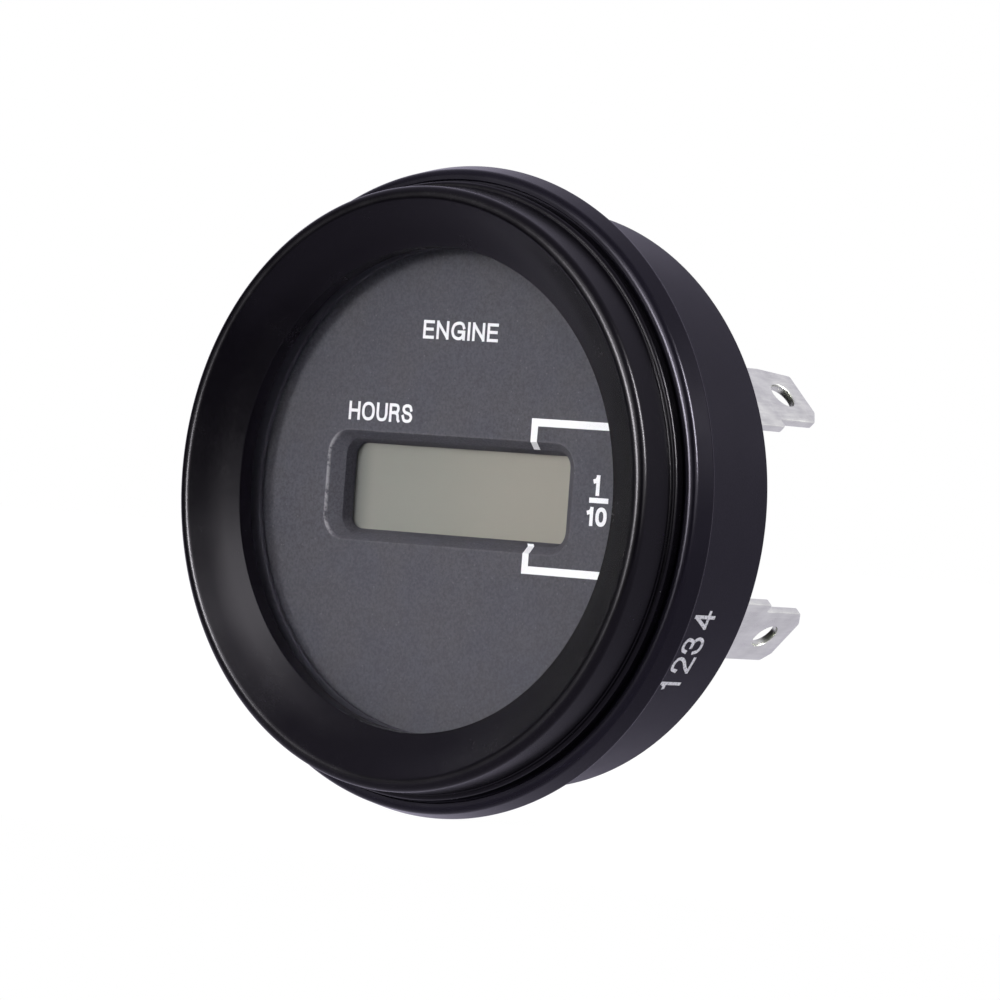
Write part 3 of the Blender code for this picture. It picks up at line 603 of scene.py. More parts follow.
@dataclass(frozen=True)
class DialPaint:
    """Charcoal dial: fine grain, pale specks, faint clouds, and a painted highlight round the
    window.

    Specks and lint are given as their spacing, their size and the share of places that have one.
    """

    name: str = "dial_charcoal"
    colour: Colour = (0.069, 0.067, 0.079)
    cool: Colour = (0.064, 0.064, 0.081)
    speck_colour: Colour = (0.19, 0.19, 0.21)
    specks: tuple[float, float, float] = (0.75, 0.10, 0.5)
    lint_colour: Colour = (0.36, 0.36, 0.38)
    lint: tuple[float, float, float] = (1.9, 0.07, 0.3)
    # colour of the painted highlight along the window's rim
    rim_highlight_colour: Colour = (0.27, 0.265, 0.285)
    grain_size: float = 0.22
    cloud_size: float = 5.0
    patch_size: float = 0.5
    # painted highlight on the window's rim: its width from the rim, the x span where it fades from
    # the left side, and its strength there and all round
    rim_highlight_width: tuple[float, float] = (0.04, 0.22)
    rim_highlight_side: tuple[float, float] = (-13.9, -12.6)
    rim_highlight_left: float = 0.8
    rim_highlight_round: float = 0.08

    def rim_distance(self, recipe: Recipe, place: Socket) -> Socket:
        """Measure how far a point is from the window's rounded outline.

        With q the point's absolute place less the half sizes, plus the corner radius, it is the
        absolute value of: the length of q's positive part, plus q's larger part where negative,
        less the radius.

        Args:
            recipe: the material that is written.
            place: the point in millimetres.

        Returns:
            The distance in millimetres.
        """
        x, _, z = recipe.axes(place)
        half_x, half_z, radius = WINDOW_MOUTH
        q_x = abs(x) - (half_x - radius)
        q_z = abs(z) - (half_z - radius)
        out = (q_x.most(0.0) ** 2.0 + q_z.most(0.0) ** 2.0) ** 0.5
        return abs(out + q_x.most(q_z).least(0.0) - radius)

    def material(self) -> bpy.types.Material:
        """Mix the finish.

        Returns:
            The material.
        """
        recipe = Recipe.on_material(self.name)
        place = recipe.place()
        grain = recipe.noise(place, self.grain_size, 3.0, 0.7)
        clouds = recipe.noise(place, self.cloud_size, 2.0).rise(0.35, 0.65)
        colour = recipe.mix(clouds, self.colour, self.cool)
        dark, light = shaded(self.colour, 0.62), shaded(self.colour, 1.45)
        toned = recipe.mix(grain.rise(0.30, 0.70), dark, light)
        colour = recipe.mix(0.45, colour, toned)
        colour = recipe.mix(recipe.specks(place, *self.specks) * 0.35, colour, self.speck_colour)
        colour = recipe.mix(recipe.specks(place, *self.lint) * 0.7, colour, self.lint_colour)
        x, _, _ = recipe.axes(place)
        # Painted highlight: a pale line along the window's rounded rim, strongest on its left side
        # and broken into patches by noise.
        patches = recipe.noise(place, self.patch_size, 3.0, 0.7).rise(0.33, 0.55)
        left = 1.0 - x.rise(*self.rim_highlight_side)
        rim_highlight = (1.0 - self.rim_distance(recipe, place).rise(*self.rim_highlight_width)) * patches
        rim_highlight = rim_highlight * (left * self.rim_highlight_left + self.rim_highlight_round)
        colour = recipe.mix(rim_highlight, colour, self.rim_highlight_colour)
        normal = recipe.bump(grain, 0.010)
        shader = recipe.principled(Base_Color=colour, Roughness=0.62 + (grain - 0.5) * 0.2,
                                   Normal=normal, Specular_IOR_Level=0.04)
        return recipe.finish(shader)


@dataclass(frozen=True)
class PrintInk:
    """Screen-printed ink: nearly even, with the screen's faint grain in it."""

    name: str
    colour: Colour = (0.76, 0.76, 0.79)
    thin_colour: Colour = (0.60, 0.60, 0.64)
    thinness: float = 0.35
    grain_size: float = 0.16

    def material(self) -> bpy.types.Material:
        """Mix the finish.

        Returns:
            The material.
        """
        recipe = Recipe.on_material(self.name)
        grain = recipe.noise(recipe.place(), self.grain_size, 2.0, 0.6)
        colour = recipe.mix(grain.rise(0.48, 0.75) * self.thinness, self.colour, self.thin_colour)
        shader = recipe.principled(Base_Color=colour, Roughness=0.45 + grain * 0.2,
                                   Normal=recipe.bump(grain, 0.002), Specular_IOR_Level=0.3)
        return recipe.finish(shader)


@dataclass(frozen=True)
class DisplayFilm:
    """Polariser over an unlit display: grey green at the left and warmer to the right, with a
    painted shadow at its left edge.
    """

    name: str = "display_film"
    left: Colour = (0.248, 0.245, 0.222)
    right: Colour = (0.292, 0.271, 0.238)
    # colour of the painted shadow that the window's wall casts on the film's left edge
    shade: Colour = (0.130, 0.132, 0.128)
    haze_colour: Colour = (0.20, 0.20, 0.18)
    reach: tuple[float, float] = (-9.0, 9.0)
    painted_shadow_reach: tuple[float, float] = (-13.4, -10.6)

    def material(self) -> bpy.types.Material:
        """Mix the finish.

        Returns:
            The material.
        """
        recipe = Recipe.on_material(self.name)
        place = recipe.place()
        x, _, _ = recipe.axes(place)
        haze = recipe.noise(place, 2.5, 2.0)
        colour = recipe.mix(x.rise(*self.reach), self.left, self.right)
        colour = recipe.mix(haze * 0.12, colour, self.haze_colour)
        # Painted shadow: the film darkens towards its left edge, where the window's wall shades it.
        colour = recipe.mix(x.rise(*self.painted_shadow_reach), self.shade, colour)
        fine = recipe.noise(place, 0.12, 1.0)
        shader = recipe.principled(Base_Color=colour, Roughness=0.42 + haze * 0.08,
                                   Normal=recipe.bump(fine, 0.0015), Specular_IOR_Level=0.04)
        return recipe.finish(shader)


@dataclass(frozen=True)
class ClearLens:
    """Clear window with a low-reflection face: it shows what is behind and mirrors a little."""

    name: str = "lens_clear"
    index: float = 1.16
    roughness: float = 0.03

    def material(self) -> bpy.types.Material:
        """Mix the finish.

        Returns:
            The material.
        """
        recipe = Recipe.on_material(self.name)
        smear = recipe.noise(recipe.place(), 6.0, 3.0)
        through = recipe.node("ShaderNodeBsdfTransparent", None, {"Color": (0.99, 0.99, 0.99, 1.0)})
        mirror = recipe.node("ShaderNodeBsdfGlossy", None,
                             {"Color": (1.0, 1.0, 1.0, 1.0),
                              "Roughness": self.roughness + smear * 0.03})
        share = recipe.node("ShaderNodeFresnel", None, {"IOR": self.index})
        return recipe.finish(recipe.node("ShaderNodeMixShader", None,
                                         {0: share, 1: through, 2: mirror}))


@dataclass(frozen=True)
class Metal:
    """Plated or drawn metal with rolling lines, a dull bloom and small dark pits."""

    name: str
    colour: Colour
    roughness: float
    line_stretch: tuple[float, float, float] = (1.0, 1.0, 1.0)
    line_size: float = 0.25
    bloom: float = 0.18
    pits: float = 0.15

    def material(self) -> bpy.types.Material:
        """Mix the finish.

        Returns:
            The material.
        """
        recipe = Recipe.on_material(self.name)
        place = recipe.place()
        along = recipe.node("ShaderNodeMapping", None,
                            {"Vector": place, "Scale": self.line_stretch})
        lines = recipe.noise(along, self.line_size, 3.0, 0.6)
        cloud = recipe.noise(place, 1.8, 3.0)
        dull = shaded(self.colour, 1.0 - self.bloom)
        colour = recipe.mix((cloud * 0.6 + lines * 0.4).rise(0.3, 0.7), dull, self.colour)
        pits = recipe.specks(place, 0.5, 0.05, self.pits)
        colour = recipe.mix(pits * 0.5, colour, shaded(self.colour, 0.35))
        rough = self.roughness + (cloud - 0.5) * 0.16 + (lines - 0.5) * 0.12
        normal = recipe.bump(lines, 0.0015)
        shader = recipe.principled(Base_Color=colour, Roughness=rough, Metallic=1.0, Normal=normal)
        return recipe.finish(shader)


@dataclass(frozen=True)
class ClearSheet:
    """Display glass: nearly clear, a little green, with a smeared gloss."""

    name: str = "display_glass"
    tint: Colour = (0.90, 0.94, 0.90)

    def material(self) -> bpy.types.Material:
        """Mix the finish.

        Returns:
            The material.
        """
        recipe = Recipe.on_material(self.name)
        smear = recipe.noise(recipe.place(), 3.0, 2.0)
        shader = recipe.principled(Base_Color=self.tint, Roughness=0.04 + smear * 0.05, Alpha=0.25,
                                   Specular_IOR_Level=0.5)
        return recipe.finish(shader)


@dataclass(frozen=True)
class BoardMask:
    """Green solder mask with copper tracks that show through it as paler lines."""

    name: str = "board_mask"
    mask: Colour = (0.012, 0.075, 0.028)
    track: Colour = (0.025, 0.13, 0.045)

    def material(self) -> bpy.types.Material:
        """Mix the finish.

        Returns:
            The material.
        """
        recipe = Recipe.on_material(self.name)
        place = recipe.place()
        x, _, z = recipe.axes(place)
        bend = recipe.noise(place, 6.0, 0.0)
        lanes = (x * 0.9 + bend * 6.0).folded(0.6)
        cross = (z * 0.9 - bend * 5.0).folded(0.9)
        copper = (lanes.rise(0.36, 0.42) + cross.rise(0.66, 0.72)).least(1.0)
        colour = recipe.mix(copper * 0.8, self.mask, self.track)
        shader = recipe.principled(Base_Color=colour, Roughness=0.38 + bend * 0.1,
                                   Normal=recipe.bump(copper, 0.02), Specular_IOR_Level=0.4)
        return recipe.finish(shader)


@dataclass(frozen=True)
class CaseSkin:
    """Black case plastic: smooth on the flange, spark textured on the body behind it."""

    name: str = "case_black"
    colour: Colour = (0.0040, 0.0033, 0.0066)
    flange_roughness: float = 0.25
    body_roughness: float = 0.40
    gloss: float = 0.11
    sheen: Colour = (0.88, 0.83, 1.0)
    spark_size: float = 0.16
    spark_depth: float = 0.016
    cloud_size: float = 5.0
    dust: float = 0.06
    dust_spacing: float = 1.3
    dust_size: float = 0.05

    def material(self) -> bpy.types.Material:
        """Mix the finish.

        Returns:
            The material.
        """
        recipe = Recipe.on_material(self.name)
        place = recipe.place()
        _, y, _ = recipe.axes(place)
        body = y.rise(-0.1, 0.1)
        spark = recipe.noise(place, self.spark_size, 3.0, 0.7)
        clouds = recipe.noise(place, self.cloud_size, 2.0)
        specks = recipe.specks(place, self.dust_spacing, self.dust_size, self.dust)
        dark, light = shaded(self.colour, 0.75), shaded(self.colour, 1.35)
        colour = recipe.mix(spark.rise(0.3, 0.7) * body * 0.6 + clouds * 0.4, dark, light)
        colour = recipe.mix(specks * 0.6, colour, DUST)
        rough = self.flange_roughness + body * (self.body_roughness - self.flange_roughness)
        rough = rough + (clouds - 0.5) * 0.08 + specks * 0.3
        normal = recipe.bump(spark * body, self.spark_depth)
        shader = recipe.principled(Base_Color=colour, Roughness=rough, Normal=normal,
                                   Specular_IOR_Level=self.gloss, Specular_Tint=self.sheen)
        return recipe.finish(shader)


@dataclass
class Finishes:
    """Every finish on the meter, made once and shared."""

    bezel: bpy.types.Material
    flange: bpy.types.Material
    shadow: bpy.types.Material
    dial: bpy.types.Material
    ink: bpy.types.Material
    side_ink: bpy.types.Material
    film: bpy.types.Material
    lens: bpy.types.Material
    tin: bpy.types.Material
    steel: bpy.types.Material
    can: bpy.types.Material
    glass: bpy.types.Material
    foil: bpy.types.Material
    board: bpy.types.Material
    epoxy: bpy.types.Material
    holder: bpy.types.Material
    strip: bpy.types.Material
    gasket: bpy.types.Material

    @classmethod
    def mixed(cls) -> "Finishes":
        """Mix every finish.

        Returns:
            The finishes as materials.
        """
        plastic = MouldedPlastic
        return cls(
            bezel=plastic("bezel_satin_black", (0.0014, 0.0010, 0.0022), 0.25, 0.10,
                          Relief.POLISHED, depth=0.001, dust=0.04,
                          sheen=(0.97, 0.93, 1.0)).material(),
            flange=CaseSkin().material(),
            shadow=plastic("spacer_matt_black", (0.055, 0.053, 0.068), 0.8, 0.05,
                           depth=0.006).material(),
            dial=DialPaint().material(),
            ink=PrintInk("dial_ink").material(),
            side_ink=PrintInk("side_ink", (0.86, 0.85, 0.92), (0.28, 0.28, 0.32), 1.0,
                              0.20).material(),
            film=DisplayFilm().material(),
            lens=ClearLens().material(),
            tin=Metal("tin_plate", (0.60, 0.62, 0.535), 0.32, (1.0, 0.12, 1.0)).material(),
            steel=Metal("zinc_steel", (0.56, 0.56, 0.54), 0.34).material(),
            can=Metal("drawn_can", (0.62, 0.62, 0.64), 0.28, (0.15, 1.0, 1.0)).material(),
            glass=ClearSheet().material(),
            foil=Metal("reflector_foil", (0.48, 0.47, 0.42), 0.45, pits=0.0).material(),
            board=BoardMask().material(),
            epoxy=plastic("component_black", (0.018, 0.018, 0.019), 0.5, 0.4,
                          depth=0.01).material(),
            holder=plastic("holder_white", (0.68, 0.68, 0.64), 0.5, 0.4, cloud=0.04).material(),
            strip=plastic("connector_rubber", (0.36, 0.15, 0.13), 0.7, 0.2, depth=0.01).material(),
            gasket=plastic("gasket_black", (0.016, 0.016, 0.016), 0.8, 0.15,
                           depth=0.008).material(),
        )


# Pieces -------------------------------------------------------------------------------------------


def add_piece(mesh: bpy.types.Mesh, material: bpy.types.Material,
              stands_for: Sequence[str] = ()) -> bpy.types.Object:
    """Put a finished mesh on the meter.

    Args:
        mesh: the mesh, in the meter's own frame.
        material: its finish.
        stands_for: the CAD nodes that it replaces.

    Returns:
        The new object.
    """
    obj = bpy.data.objects.new(mesh.name, mesh)
    bpy.context.scene.collection.objects.link(obj)
    mesh.materials.clear()
    mesh.materials.append(material)
    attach(obj, "root")
    if stands_for:
        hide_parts(*stands_for)
    log.info("%s: %d faces", mesh.name, len(mesh.polygons))
    return obj


def dress_node(name: str, material: bpy.types.Material) -> None:
    """Give a CAD node that stays in view its finish.

    Args:
        name: the node's name.
        material: its finish.
    """
    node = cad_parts[name]
    node.data.materials.clear()
    node.data.materials.append(material)
    log.info("%s: dressed", name)


@dataclass
class Bezel:
    """The dished ring that snaps over the case's collar."""

    window: float = 21.5
    lip_back: float = -3.23
    lip_front: float = -4.73
    lip_round: float = 0.10
    crest: float = -7.26
    crest_round: float = 0.76
    crest_inset: float = 1.06
    side: float = 26.7
    draft: float = 0.2
    foot: float = 27.4
    foot_front: float = -3.55
    foot_back: float = -2.4
    foot_fillet: float = 0.12
    foot_round: float = 0.32
    skirt_bore: float = 25.5
    slot_front: float = -5.0
    fitted: float = 24.3
    seal_outer: float = 24.0
    seal_inner: float = 22.4
    seal_front: float = -4.03
    dish_sag: float = 0.12
    dish_round: float = 18.0

    def profile(self) -> Array:
        """Draw the ring's rounded section, from the window outwards and back inside.

        Returns:
            Its points as (radius, y).
        """
        crest_inner = self.side - self.crest_inset
        middle = ((self.window + crest_inner) / 2 + self.dish_sag / 2,
                  (self.lip_front + self.crest) / 2 + self.dish_sag)
        corners = [(self.window, self.lip_back), (self.window, self.lip_front), middle,
                   (crest_inner, self.crest), (self.side, self.crest),
                   (self.side + self.draft, self.foot_front), (self.foot, self.foot_front),
                   (self.foot, self.foot_back), (self.skirt_bore, self.foot_back),
                   (self.skirt_bore, self.slot_front), (self.fitted, self.slot_front),
                   (self.fitted, self.lip_back), (self.seal_outer, self.lip_back),
                   (self.seal_outer, self.seal_front), (self.seal_inner, self.seal_front),
                   (self.seal_inner, self.lip_back)]
        radii = [0.0, self.lip_round, self.dish_round, self.crest_round, self.crest_round,
                 self.foot_fillet, self.foot_round, 0.05, 0.05, 0.1, 0.1, 0.0, 0.0, 0.05, 0.05, 0.0]
        return rounded(corners, radii, closed=True, facets=10)

    def build(self, finishes: Finishes) -> None:
        """Build and dress the ring."""
        mesh = turned(self.profile(), 512).mesh("bezel")
        add_piece(mesh, finishes.bezel, ["bezel_ring"])


def bent(points: Sequence[Sequence[float]], steps: int = 10) -> Array:
    """Draw a smooth line through points.

    Between points p1 and p2 with neighbours p0 and p3 it is the Catmull-Rom cubic: half of
    2 p1 + (p2 - p0) t + (2 p0 - 5 p1 + 4 p2 - p3) t^2 + (3 p1 - p0 - 3 p2 + p3) t^3.

    Args:
        points: what the line passes through.
        steps: steps from each point to the next.

    Returns:
        The line's points, one row each.
    """
    inner = np.asarray(points, float)
    path = np.concatenate([2 * inner[:1] - inner[1:2], inner, 2 * inner[-1:] - inner[-2:-1]])
    t = np.linspace(0.0, 1.0, steps, endpoint=False)[None, :, None]
    p0, p1, p2, p3 = (path[i:len(path) - 3 + i, None] for i in range(4))
    curve = (2 * p1 + (p2 - p0) * t + (2 * p0 - 5 * p1 + 4 * p2 - p3) * t ** 2
             + (3 * p1 - p0 - 3 * p2 + p3) * t ** 3) / 2
    return np.concatenate([curve.reshape(-1, 2), inner[-1:]])


def straight(*strokes: Sequence[Sequence[float]]) -> list[Array]:
    """Return straight strokes, each given by its points."""
    return [np.asarray(stroke, float) for stroke in strokes]


def loop(half_x: float, half_z: float, steps: int = 48, power: float = 2.3) -> Array:
    """Draw a closed letter round: a superellipse in a box whose corner is at (0, 0).

    Args:
        half_x: half the box's width.
        half_z: half its height.
        steps: steps once round.
        power: the superellipse's power, 2 for an ellipse.

    Returns:
        The line's points, the last on the first.
    """
    angle = np.linspace(0.0, 2 * np.pi, steps + 1)
    x, z = np.cos(angle), np.sin(angle)
    return np.stack([np.sign(x) * np.abs(x) ** (2 / power) * half_x + half_x,
                     np.sign(z) * np.abs(z) ** (2 / power) * half_z + half_z], axis=1)


# Each glyph's width at unit height, and its strokes' middle lines.
GLYPHS: Mapping[str, tuple[float, Sequence[Array]]] = {
    "E": (0.50, straight([(0, 0), (0, 1)], [(0, 1), (0.50, 1)], [(0, 0.52), (0.46, 0.52)],
                         [(0, 0), (0.50, 0)])),
    "N": (0.58, straight([(0, 0), (0, 1)], [(0.06, 0.89), (0.52, 0.11)], [(0.58, 0), (0.58, 1)])),
    "G": (0.68, [bent([(0.66, 0.72), (0.57, 0.94), (0.35, 1.0), (0.10, 0.86), (0.0, 0.5),
                       (0.10, 0.14), (0.35, 0.0), (0.56, 0.09), (0.66, 0.34)]),
                 *straight([(0.38, 0.44), (0.68, 0.44)], [(0.68, 0.44), (0.68, 0.0)])]),
    "I": (0.0, straight([(0, 0), (0, 1)])),
    "H": (0.58, straight([(0, 0), (0, 1)], [(0, 0.51), (0.58, 0.51)], [(0.58, 0), (0.58, 1)])),
    "O": (0.68, [loop(0.34, 0.5)]),
    "U": (0.56, [bent([(0.0, 1.0), (0.0, 0.7), (0.0, 0.36), (0.08, 0.08), (0.28, 0.0),
                       (0.48, 0.08), (0.56, 0.36), (0.56, 0.7), (0.56, 1.0)])]),
    "R": (0.54, [*straight([(0, 0), (0, 1)]),
                 bent([(0.0, 1.0), (0.30, 1.0), (0.44, 0.95), (0.50, 0.77), (0.44, 0.57),
                       (0.30, 0.51), (0.0, 0.51)]),
                 bent([(0.28, 0.51), (0.43, 0.43), (0.48, 0.27), (0.49, 0.10), (0.54, 0.0)])]),
    "S": (0.54, [bent([(0.52, 0.74), (0.45, 0.94), (0.26, 1.0), (0.07, 0.92), (0.03, 0.73),
                       (0.13, 0.58), (0.28, 0.52), (0.44, 0.45), (0.54, 0.27), (0.46, 0.06),
                       (0.27, 0.0), (0.08, 0.07), (0.0, 0.30)])]),
    "0": (0.46, [loop(0.23, 0.5)]),
    "1": (0.20, [*straight([(0.20, 0), (0.20, 1)]),
                 bent([(0.02, 0.76), (0.11, 0.80), (0.17, 0.92)])]),
    "2": (0.50, [bent([(0.02, 0.70), (0.08, 0.93), (0.26, 1.0), (0.44, 0.92), (0.48, 0.72),
                       (0.38, 0.50), (0.19, 0.30), (0.06, 0.11)]), *straight([(0, 0), (0.50, 0)])]),
    "3": (0.50, [bent([(0.02, 0.74), (0.08, 0.93), (0.25, 1.0), (0.42, 0.92), (0.45, 0.76),
                       (0.38, 0.58), (0.20, 0.54)]),
                 bent([(0.20, 0.54), (0.40, 0.50), (0.50, 0.29), (0.43, 0.07), (0.25, 0.0),
                       (0.07, 0.07), (0.0, 0.28)])]),
    "4": (0.50, straight([(0.36, 0), (0.36, 1)], [(0.33, 0.94), (0.03, 0.34)],
                         [(0, 0.28), (0.52, 0.28)])),
}


def pen_stroke(line: Array, width: float) -> Array:
    """Draw an even stroke along a flat line.

    Each step's ends are the line's points plus and minus half the width along their normals,
    divided by the cosine of half the turn there, so that the width stays even round the bends.
    The corners run once round their middle, also where a tight bend folds them over. An open
    line's ends are square and reach half the width past its end points.

    Args:
        line: the line's points as (across, up).
        width: the stroke's width.

    Returns:
        The four corners of each step.
    """
    ahead = np.diff(line, axis=0)
    ahead /= np.linalg.norm(ahead, axis=1, keepdims=True)
    closed = np.allclose(line[0], line[-1])
    if not closed:
        line = np.concatenate([line[:1] - ahead[:1] * width / 2, line[1:-1],
                               line[-1:] + ahead[-1:] * width / 2])
    first, last = (ahead[-1:], ahead[:1]) if closed else (ahead[:1], ahead[-1:])
    before, after = np.concatenate([first, ahead]), np.concatenate([ahead, last])
    bisector = before + after
    bisector /= np.linalg.norm(bisector, axis=1, keepdims=True)
    spread = width / 2 / np.maximum((bisector * after).sum(axis=1, keepdims=True), 0.5)
    normal = np.stack([-bisector[:, 1], bisector[:, 0]], axis=1) * spread
    left, right = line + normal, line - normal
    cells = np.stack([left[:-1], right[:-1], right[1:], left[1:]], axis=1)
    spoke = cells - cells.mean(axis=1, keepdims=True)
    order = np.argsort(np.arctan2(spoke[..., 1], spoke[..., 0]), axis=1)
    return np.take_along_axis(cells, order[..., None], axis=1)


def flat_slab(cells: Array) -> Surface:
    """Make a slab from 0 to 1 thick over the union of overlapping flat four-sided cells.

    The plane is cut into triangles along the cells' sides, and those that lie in a cell make the
    top and the bottom. A side stands on each edge that only one such triangle has.

    Args:
        cells: the four corners of each cell, in order round it.

    Returns:
        The closed slab, its thickness as the third coordinate.
    """
    corners = [Vector(corner) for corner in cells.reshape(-1, 2)]
    loops = np.arange(len(corners)).reshape(-1, 4).tolist()
    flat, _, faces, _, _, cells_of = delaunay_2d_cdt(corners, [], loops, 0, 1e-5)
    plane = np.array([point[:] for point in flat])
    top = np.array([face for face, inside in zip(faces, cells_of) if inside])
    first, second, third = (plane[top[:, i]] for i in range(3))
    turn = np.cross(second - first, third - first)
    top[turn < 0] = top[turn < 0][:, ::-1]
    edges = np.concatenate([top[:, [0, 1]], top[:, [1, 2]], top[:, [2, 0]]])
    forward = edges[:, 0] * len(plane) + edges[:, 1]
    backward = edges[:, 1] * len(plane) + edges[:, 0]
    rim = edges[~np.isin(forward, backward)]
    count = len(plane)
    sides = np.column_stack([rim, rim[:, 1] + count, rim[:, 0] + count])
    points = np.concatenate([np.column_stack([plane, np.full(count, level)])
                             for level in (0.0, 1.0)])
    return Surface(points, sides, np.concatenate([top[:, ::-1], top + count]))


class PrintWeight(Enum):
    """How heavy a line of print is: its strokes' width as a share of its height."""

    WORD = 0.165
    BOLD = 0.215
    FINE = 0.125


@dataclass(frozen=True)
class Legend:
    """A line of print and the box that it fills, in millimetres."""

    name: str
    words: str
    weight: PrintWeight
    left: float
    right: float
    base: float
    top: float
    gap: float = 0.12

    def slab(self) -> Surface:
        """Write the words as a slab.

        Letters stand the gap apart at unit height, and a word's box is then stretched across to
        the legend's. A single letter keeps its own width, centred in the box.

        Returns:
            The slab, its points as (across, up, thickness from 0 to 1).
        """
        height = self.top - self.base
        pen = self.weight.value
        widths = [GLYPHS[letter][0] + pen for letter in self.words]
        natural = sum(widths) + self.gap * (len(widths) - 1)
        stretch = (self.right - self.left) / height / natural if len(self.words) > 1 else 1.0
        start, cells = 0.0, []
        for letter, width in zip(self.words, widths):
            for line in GLYPHS[letter][1]:
                inside = line * [1.0, 1.0 - pen] + [start + pen / 2, pen / 2]
                cells.append(pen_stroke(inside * [stretch, 1.0], pen))
            start += width + self.gap
        slab = flat_slab(np.concatenate(cells))
        left = (self.left + self.right) / 2 - natural * stretch * height / 2
        slab.points = slab.points * [height, height, 1.0] + [left, self.base, 0.0]
        return slab


@dataclass
class Case:
    """The body with its flange, one moulding, and the digits printed on its side."""

    radius: float = 26.05
    bore: float = 24.5
    back: float = 11.45
    flange: float = 29.0
    flange_taper: float = 0.5
    flange_front: float = -2.45
    flange_round: float = 0.72
    flange_edge: float = -0.3
    flange_rear_round: float = 0.22
    body_fillet: float = 0.25
    edge_round: float = 0.2
    flange_bore: float = 27.6
    seat: float = -2.2
    collar: float = 25.3
    collar_front: float = -4.8
    bead: float = 0.25
    bead_places: tuple[float, float, float] = (-4.0, -3.5, -3.25)
    ledge_bore: float = 22.4
    ledge_front: float = 0.4
    ledge_back: float = 1.6
    cover_ledge: float = 23.9
    cover_seat: float = 9.65
    digits: str = "1234"
    digit_angles: tuple[float, ...] = (-36.6, -31.5, -27.05, -21.55)
    digit_width: float = 1.45
    digit_front: float = 4.45
    digit_back: float = 7.25
    ink: float = 0.03
    ink_root: float = 0.015

    def profile(self) -> Array:
        """Draw the case's rounded section, from the collar outwards and back inside.

        Returns:
            Its points as (radius, y).
        """
        neck = self.collar - self.bead / 2
        rise, top, fall = self.bead_places
        corners = [(self.bore, self.collar_front), (self.collar - self.bead, self.collar_front),
                   (neck, rise), (self.collar, top), (neck, fall), (neck, self.seat),
                   (self.flange_bore, self.seat), (self.flange_bore, self.flange_front),
                   (self.flange - self.flange_taper, self.flange_front),
                   (self.flange, self.flange_edge), (self.flange, 0.0), (self.radius, 0.0),
                   (self.radius, self.back), (self.bore, self.back), (self.bore, self.cover_seat),
                   (self.cover_ledge, self.cover_seat), (self.cover_ledge, self.ledge_back),
                   (self.ledge_bore, self.ledge_back), (self.ledge_bore, self.ledge_front),
                   (self.bore, self.ledge_front)]
        radii = [0.1, 0.1, 0.0, 0.1, 0.0, 0.1, 0.05, 0.1, self.flange_round, 0.0,
                 self.flange_rear_round, self.body_fillet, self.edge_round, 0.1, 0.1, 0.0, 0.1, 0.1,
                 0.1, 0.1]
        return rounded(corners, radii, closed=True, facets=10)

    def print_digit(self, index: int, material: bpy.types.Material) -> None:
        """Wrap one digit on the body.

        It reads upwards with its top to the front. A glyph's point (u, v, h) goes to the digit's
        angle plus u / r, to its back less v, and to the radius r less the ink's root plus h times
        the ink.

        Args:
            index: which of the digits.
            material: the ink.
        """
        legend = Legend(f"side_digit_{index + 1}", self.digits[index], PrintWeight.FINE,
                        -self.digit_width / 2, self.digit_width / 2, 0.0,
                        self.digit_back - self.digit_front)
        slab = legend.slab()
        across, up, height = slab.points.T
        angle = np.radians(self.digit_angles[index]) + across / self.radius
        distance = self.radius - self.ink_root + height * self.ink
        slab.points = np.column_stack([distance * np.cos(angle), self.digit_back - up,
                                       distance * np.sin(angle)])
        add_piece(slab.outward().mesh(legend.name, sharp=SHARP), material)

    def build(self, finishes: Finishes) -> None:
        """Build and dress the case, then print its digits.

        Args:
            finishes: the meter's finishes.
        """
        mesh = turned(self.profile(), 512).mesh("case")
        add_piece(mesh, finishes.flange, ["case_body"])
        for index in range(len(self.digits)):
            self.print_digit(index, finishes.side_ink)


@dataclass
class Glazing:
    """The lens, and the matte ring between it and the dial."""

    radius: float = 24.3
    front: float = -3.03
    back: float = -2.03
    edge: float = 0.15
    spacer_bore: float = 21.6
    spacer_front: float = -1.83
    spacer_back: float = -1.4
    spacer_step: float = 23.6
    spacer_foot: float = 0.2
    spacer_edge: float = 0.08

    def lens(self) -> Surface:
        """Turn the lens: a flat disc with a small chamfer, from axis to axis.

        Returns:
            The closed surface.
        """
        corners = [(AXIS, self.front), (self.radius, self.front), (self.radius, self.back),
                   (AXIS, self.back)]
        return turned(rounded(corners, [0.0, self.edge, self.edge, 0.0]), closed=False)

    def spacer(self) -> Surface:
        """Turn the stepped ring that holds the lens off the dial.

        Returns:
            The closed surface.
        """
        corners = [(self.spacer_bore, self.spacer_front), (self.radius, self.spacer_front),
                   (self.radius, self.spacer_foot), (self.spacer_step, self.spacer_foot),
                   (self.spacer_step, self.spacer_back), (self.spacer_bore, self.spacer_back)]
        radii = [self.spacer_edge] * len(corners)
        return turned(rounded(corners, radii, closed=True, facets=4))

    def build(self, finishes: Finishes) -> None:
        """Build and dress the lens and the ring, and dress the seal.

        Args:
            finishes: the meter's finishes.
        """
        add_piece(self.lens().mesh("window_lens"), finishes.lens, ["lens"])
        add_piece(self.spacer().mesh("spacer"), finishes.shadow, ["spacer_ring"])
        dress_node("lens_gasket", finishes.gasket)


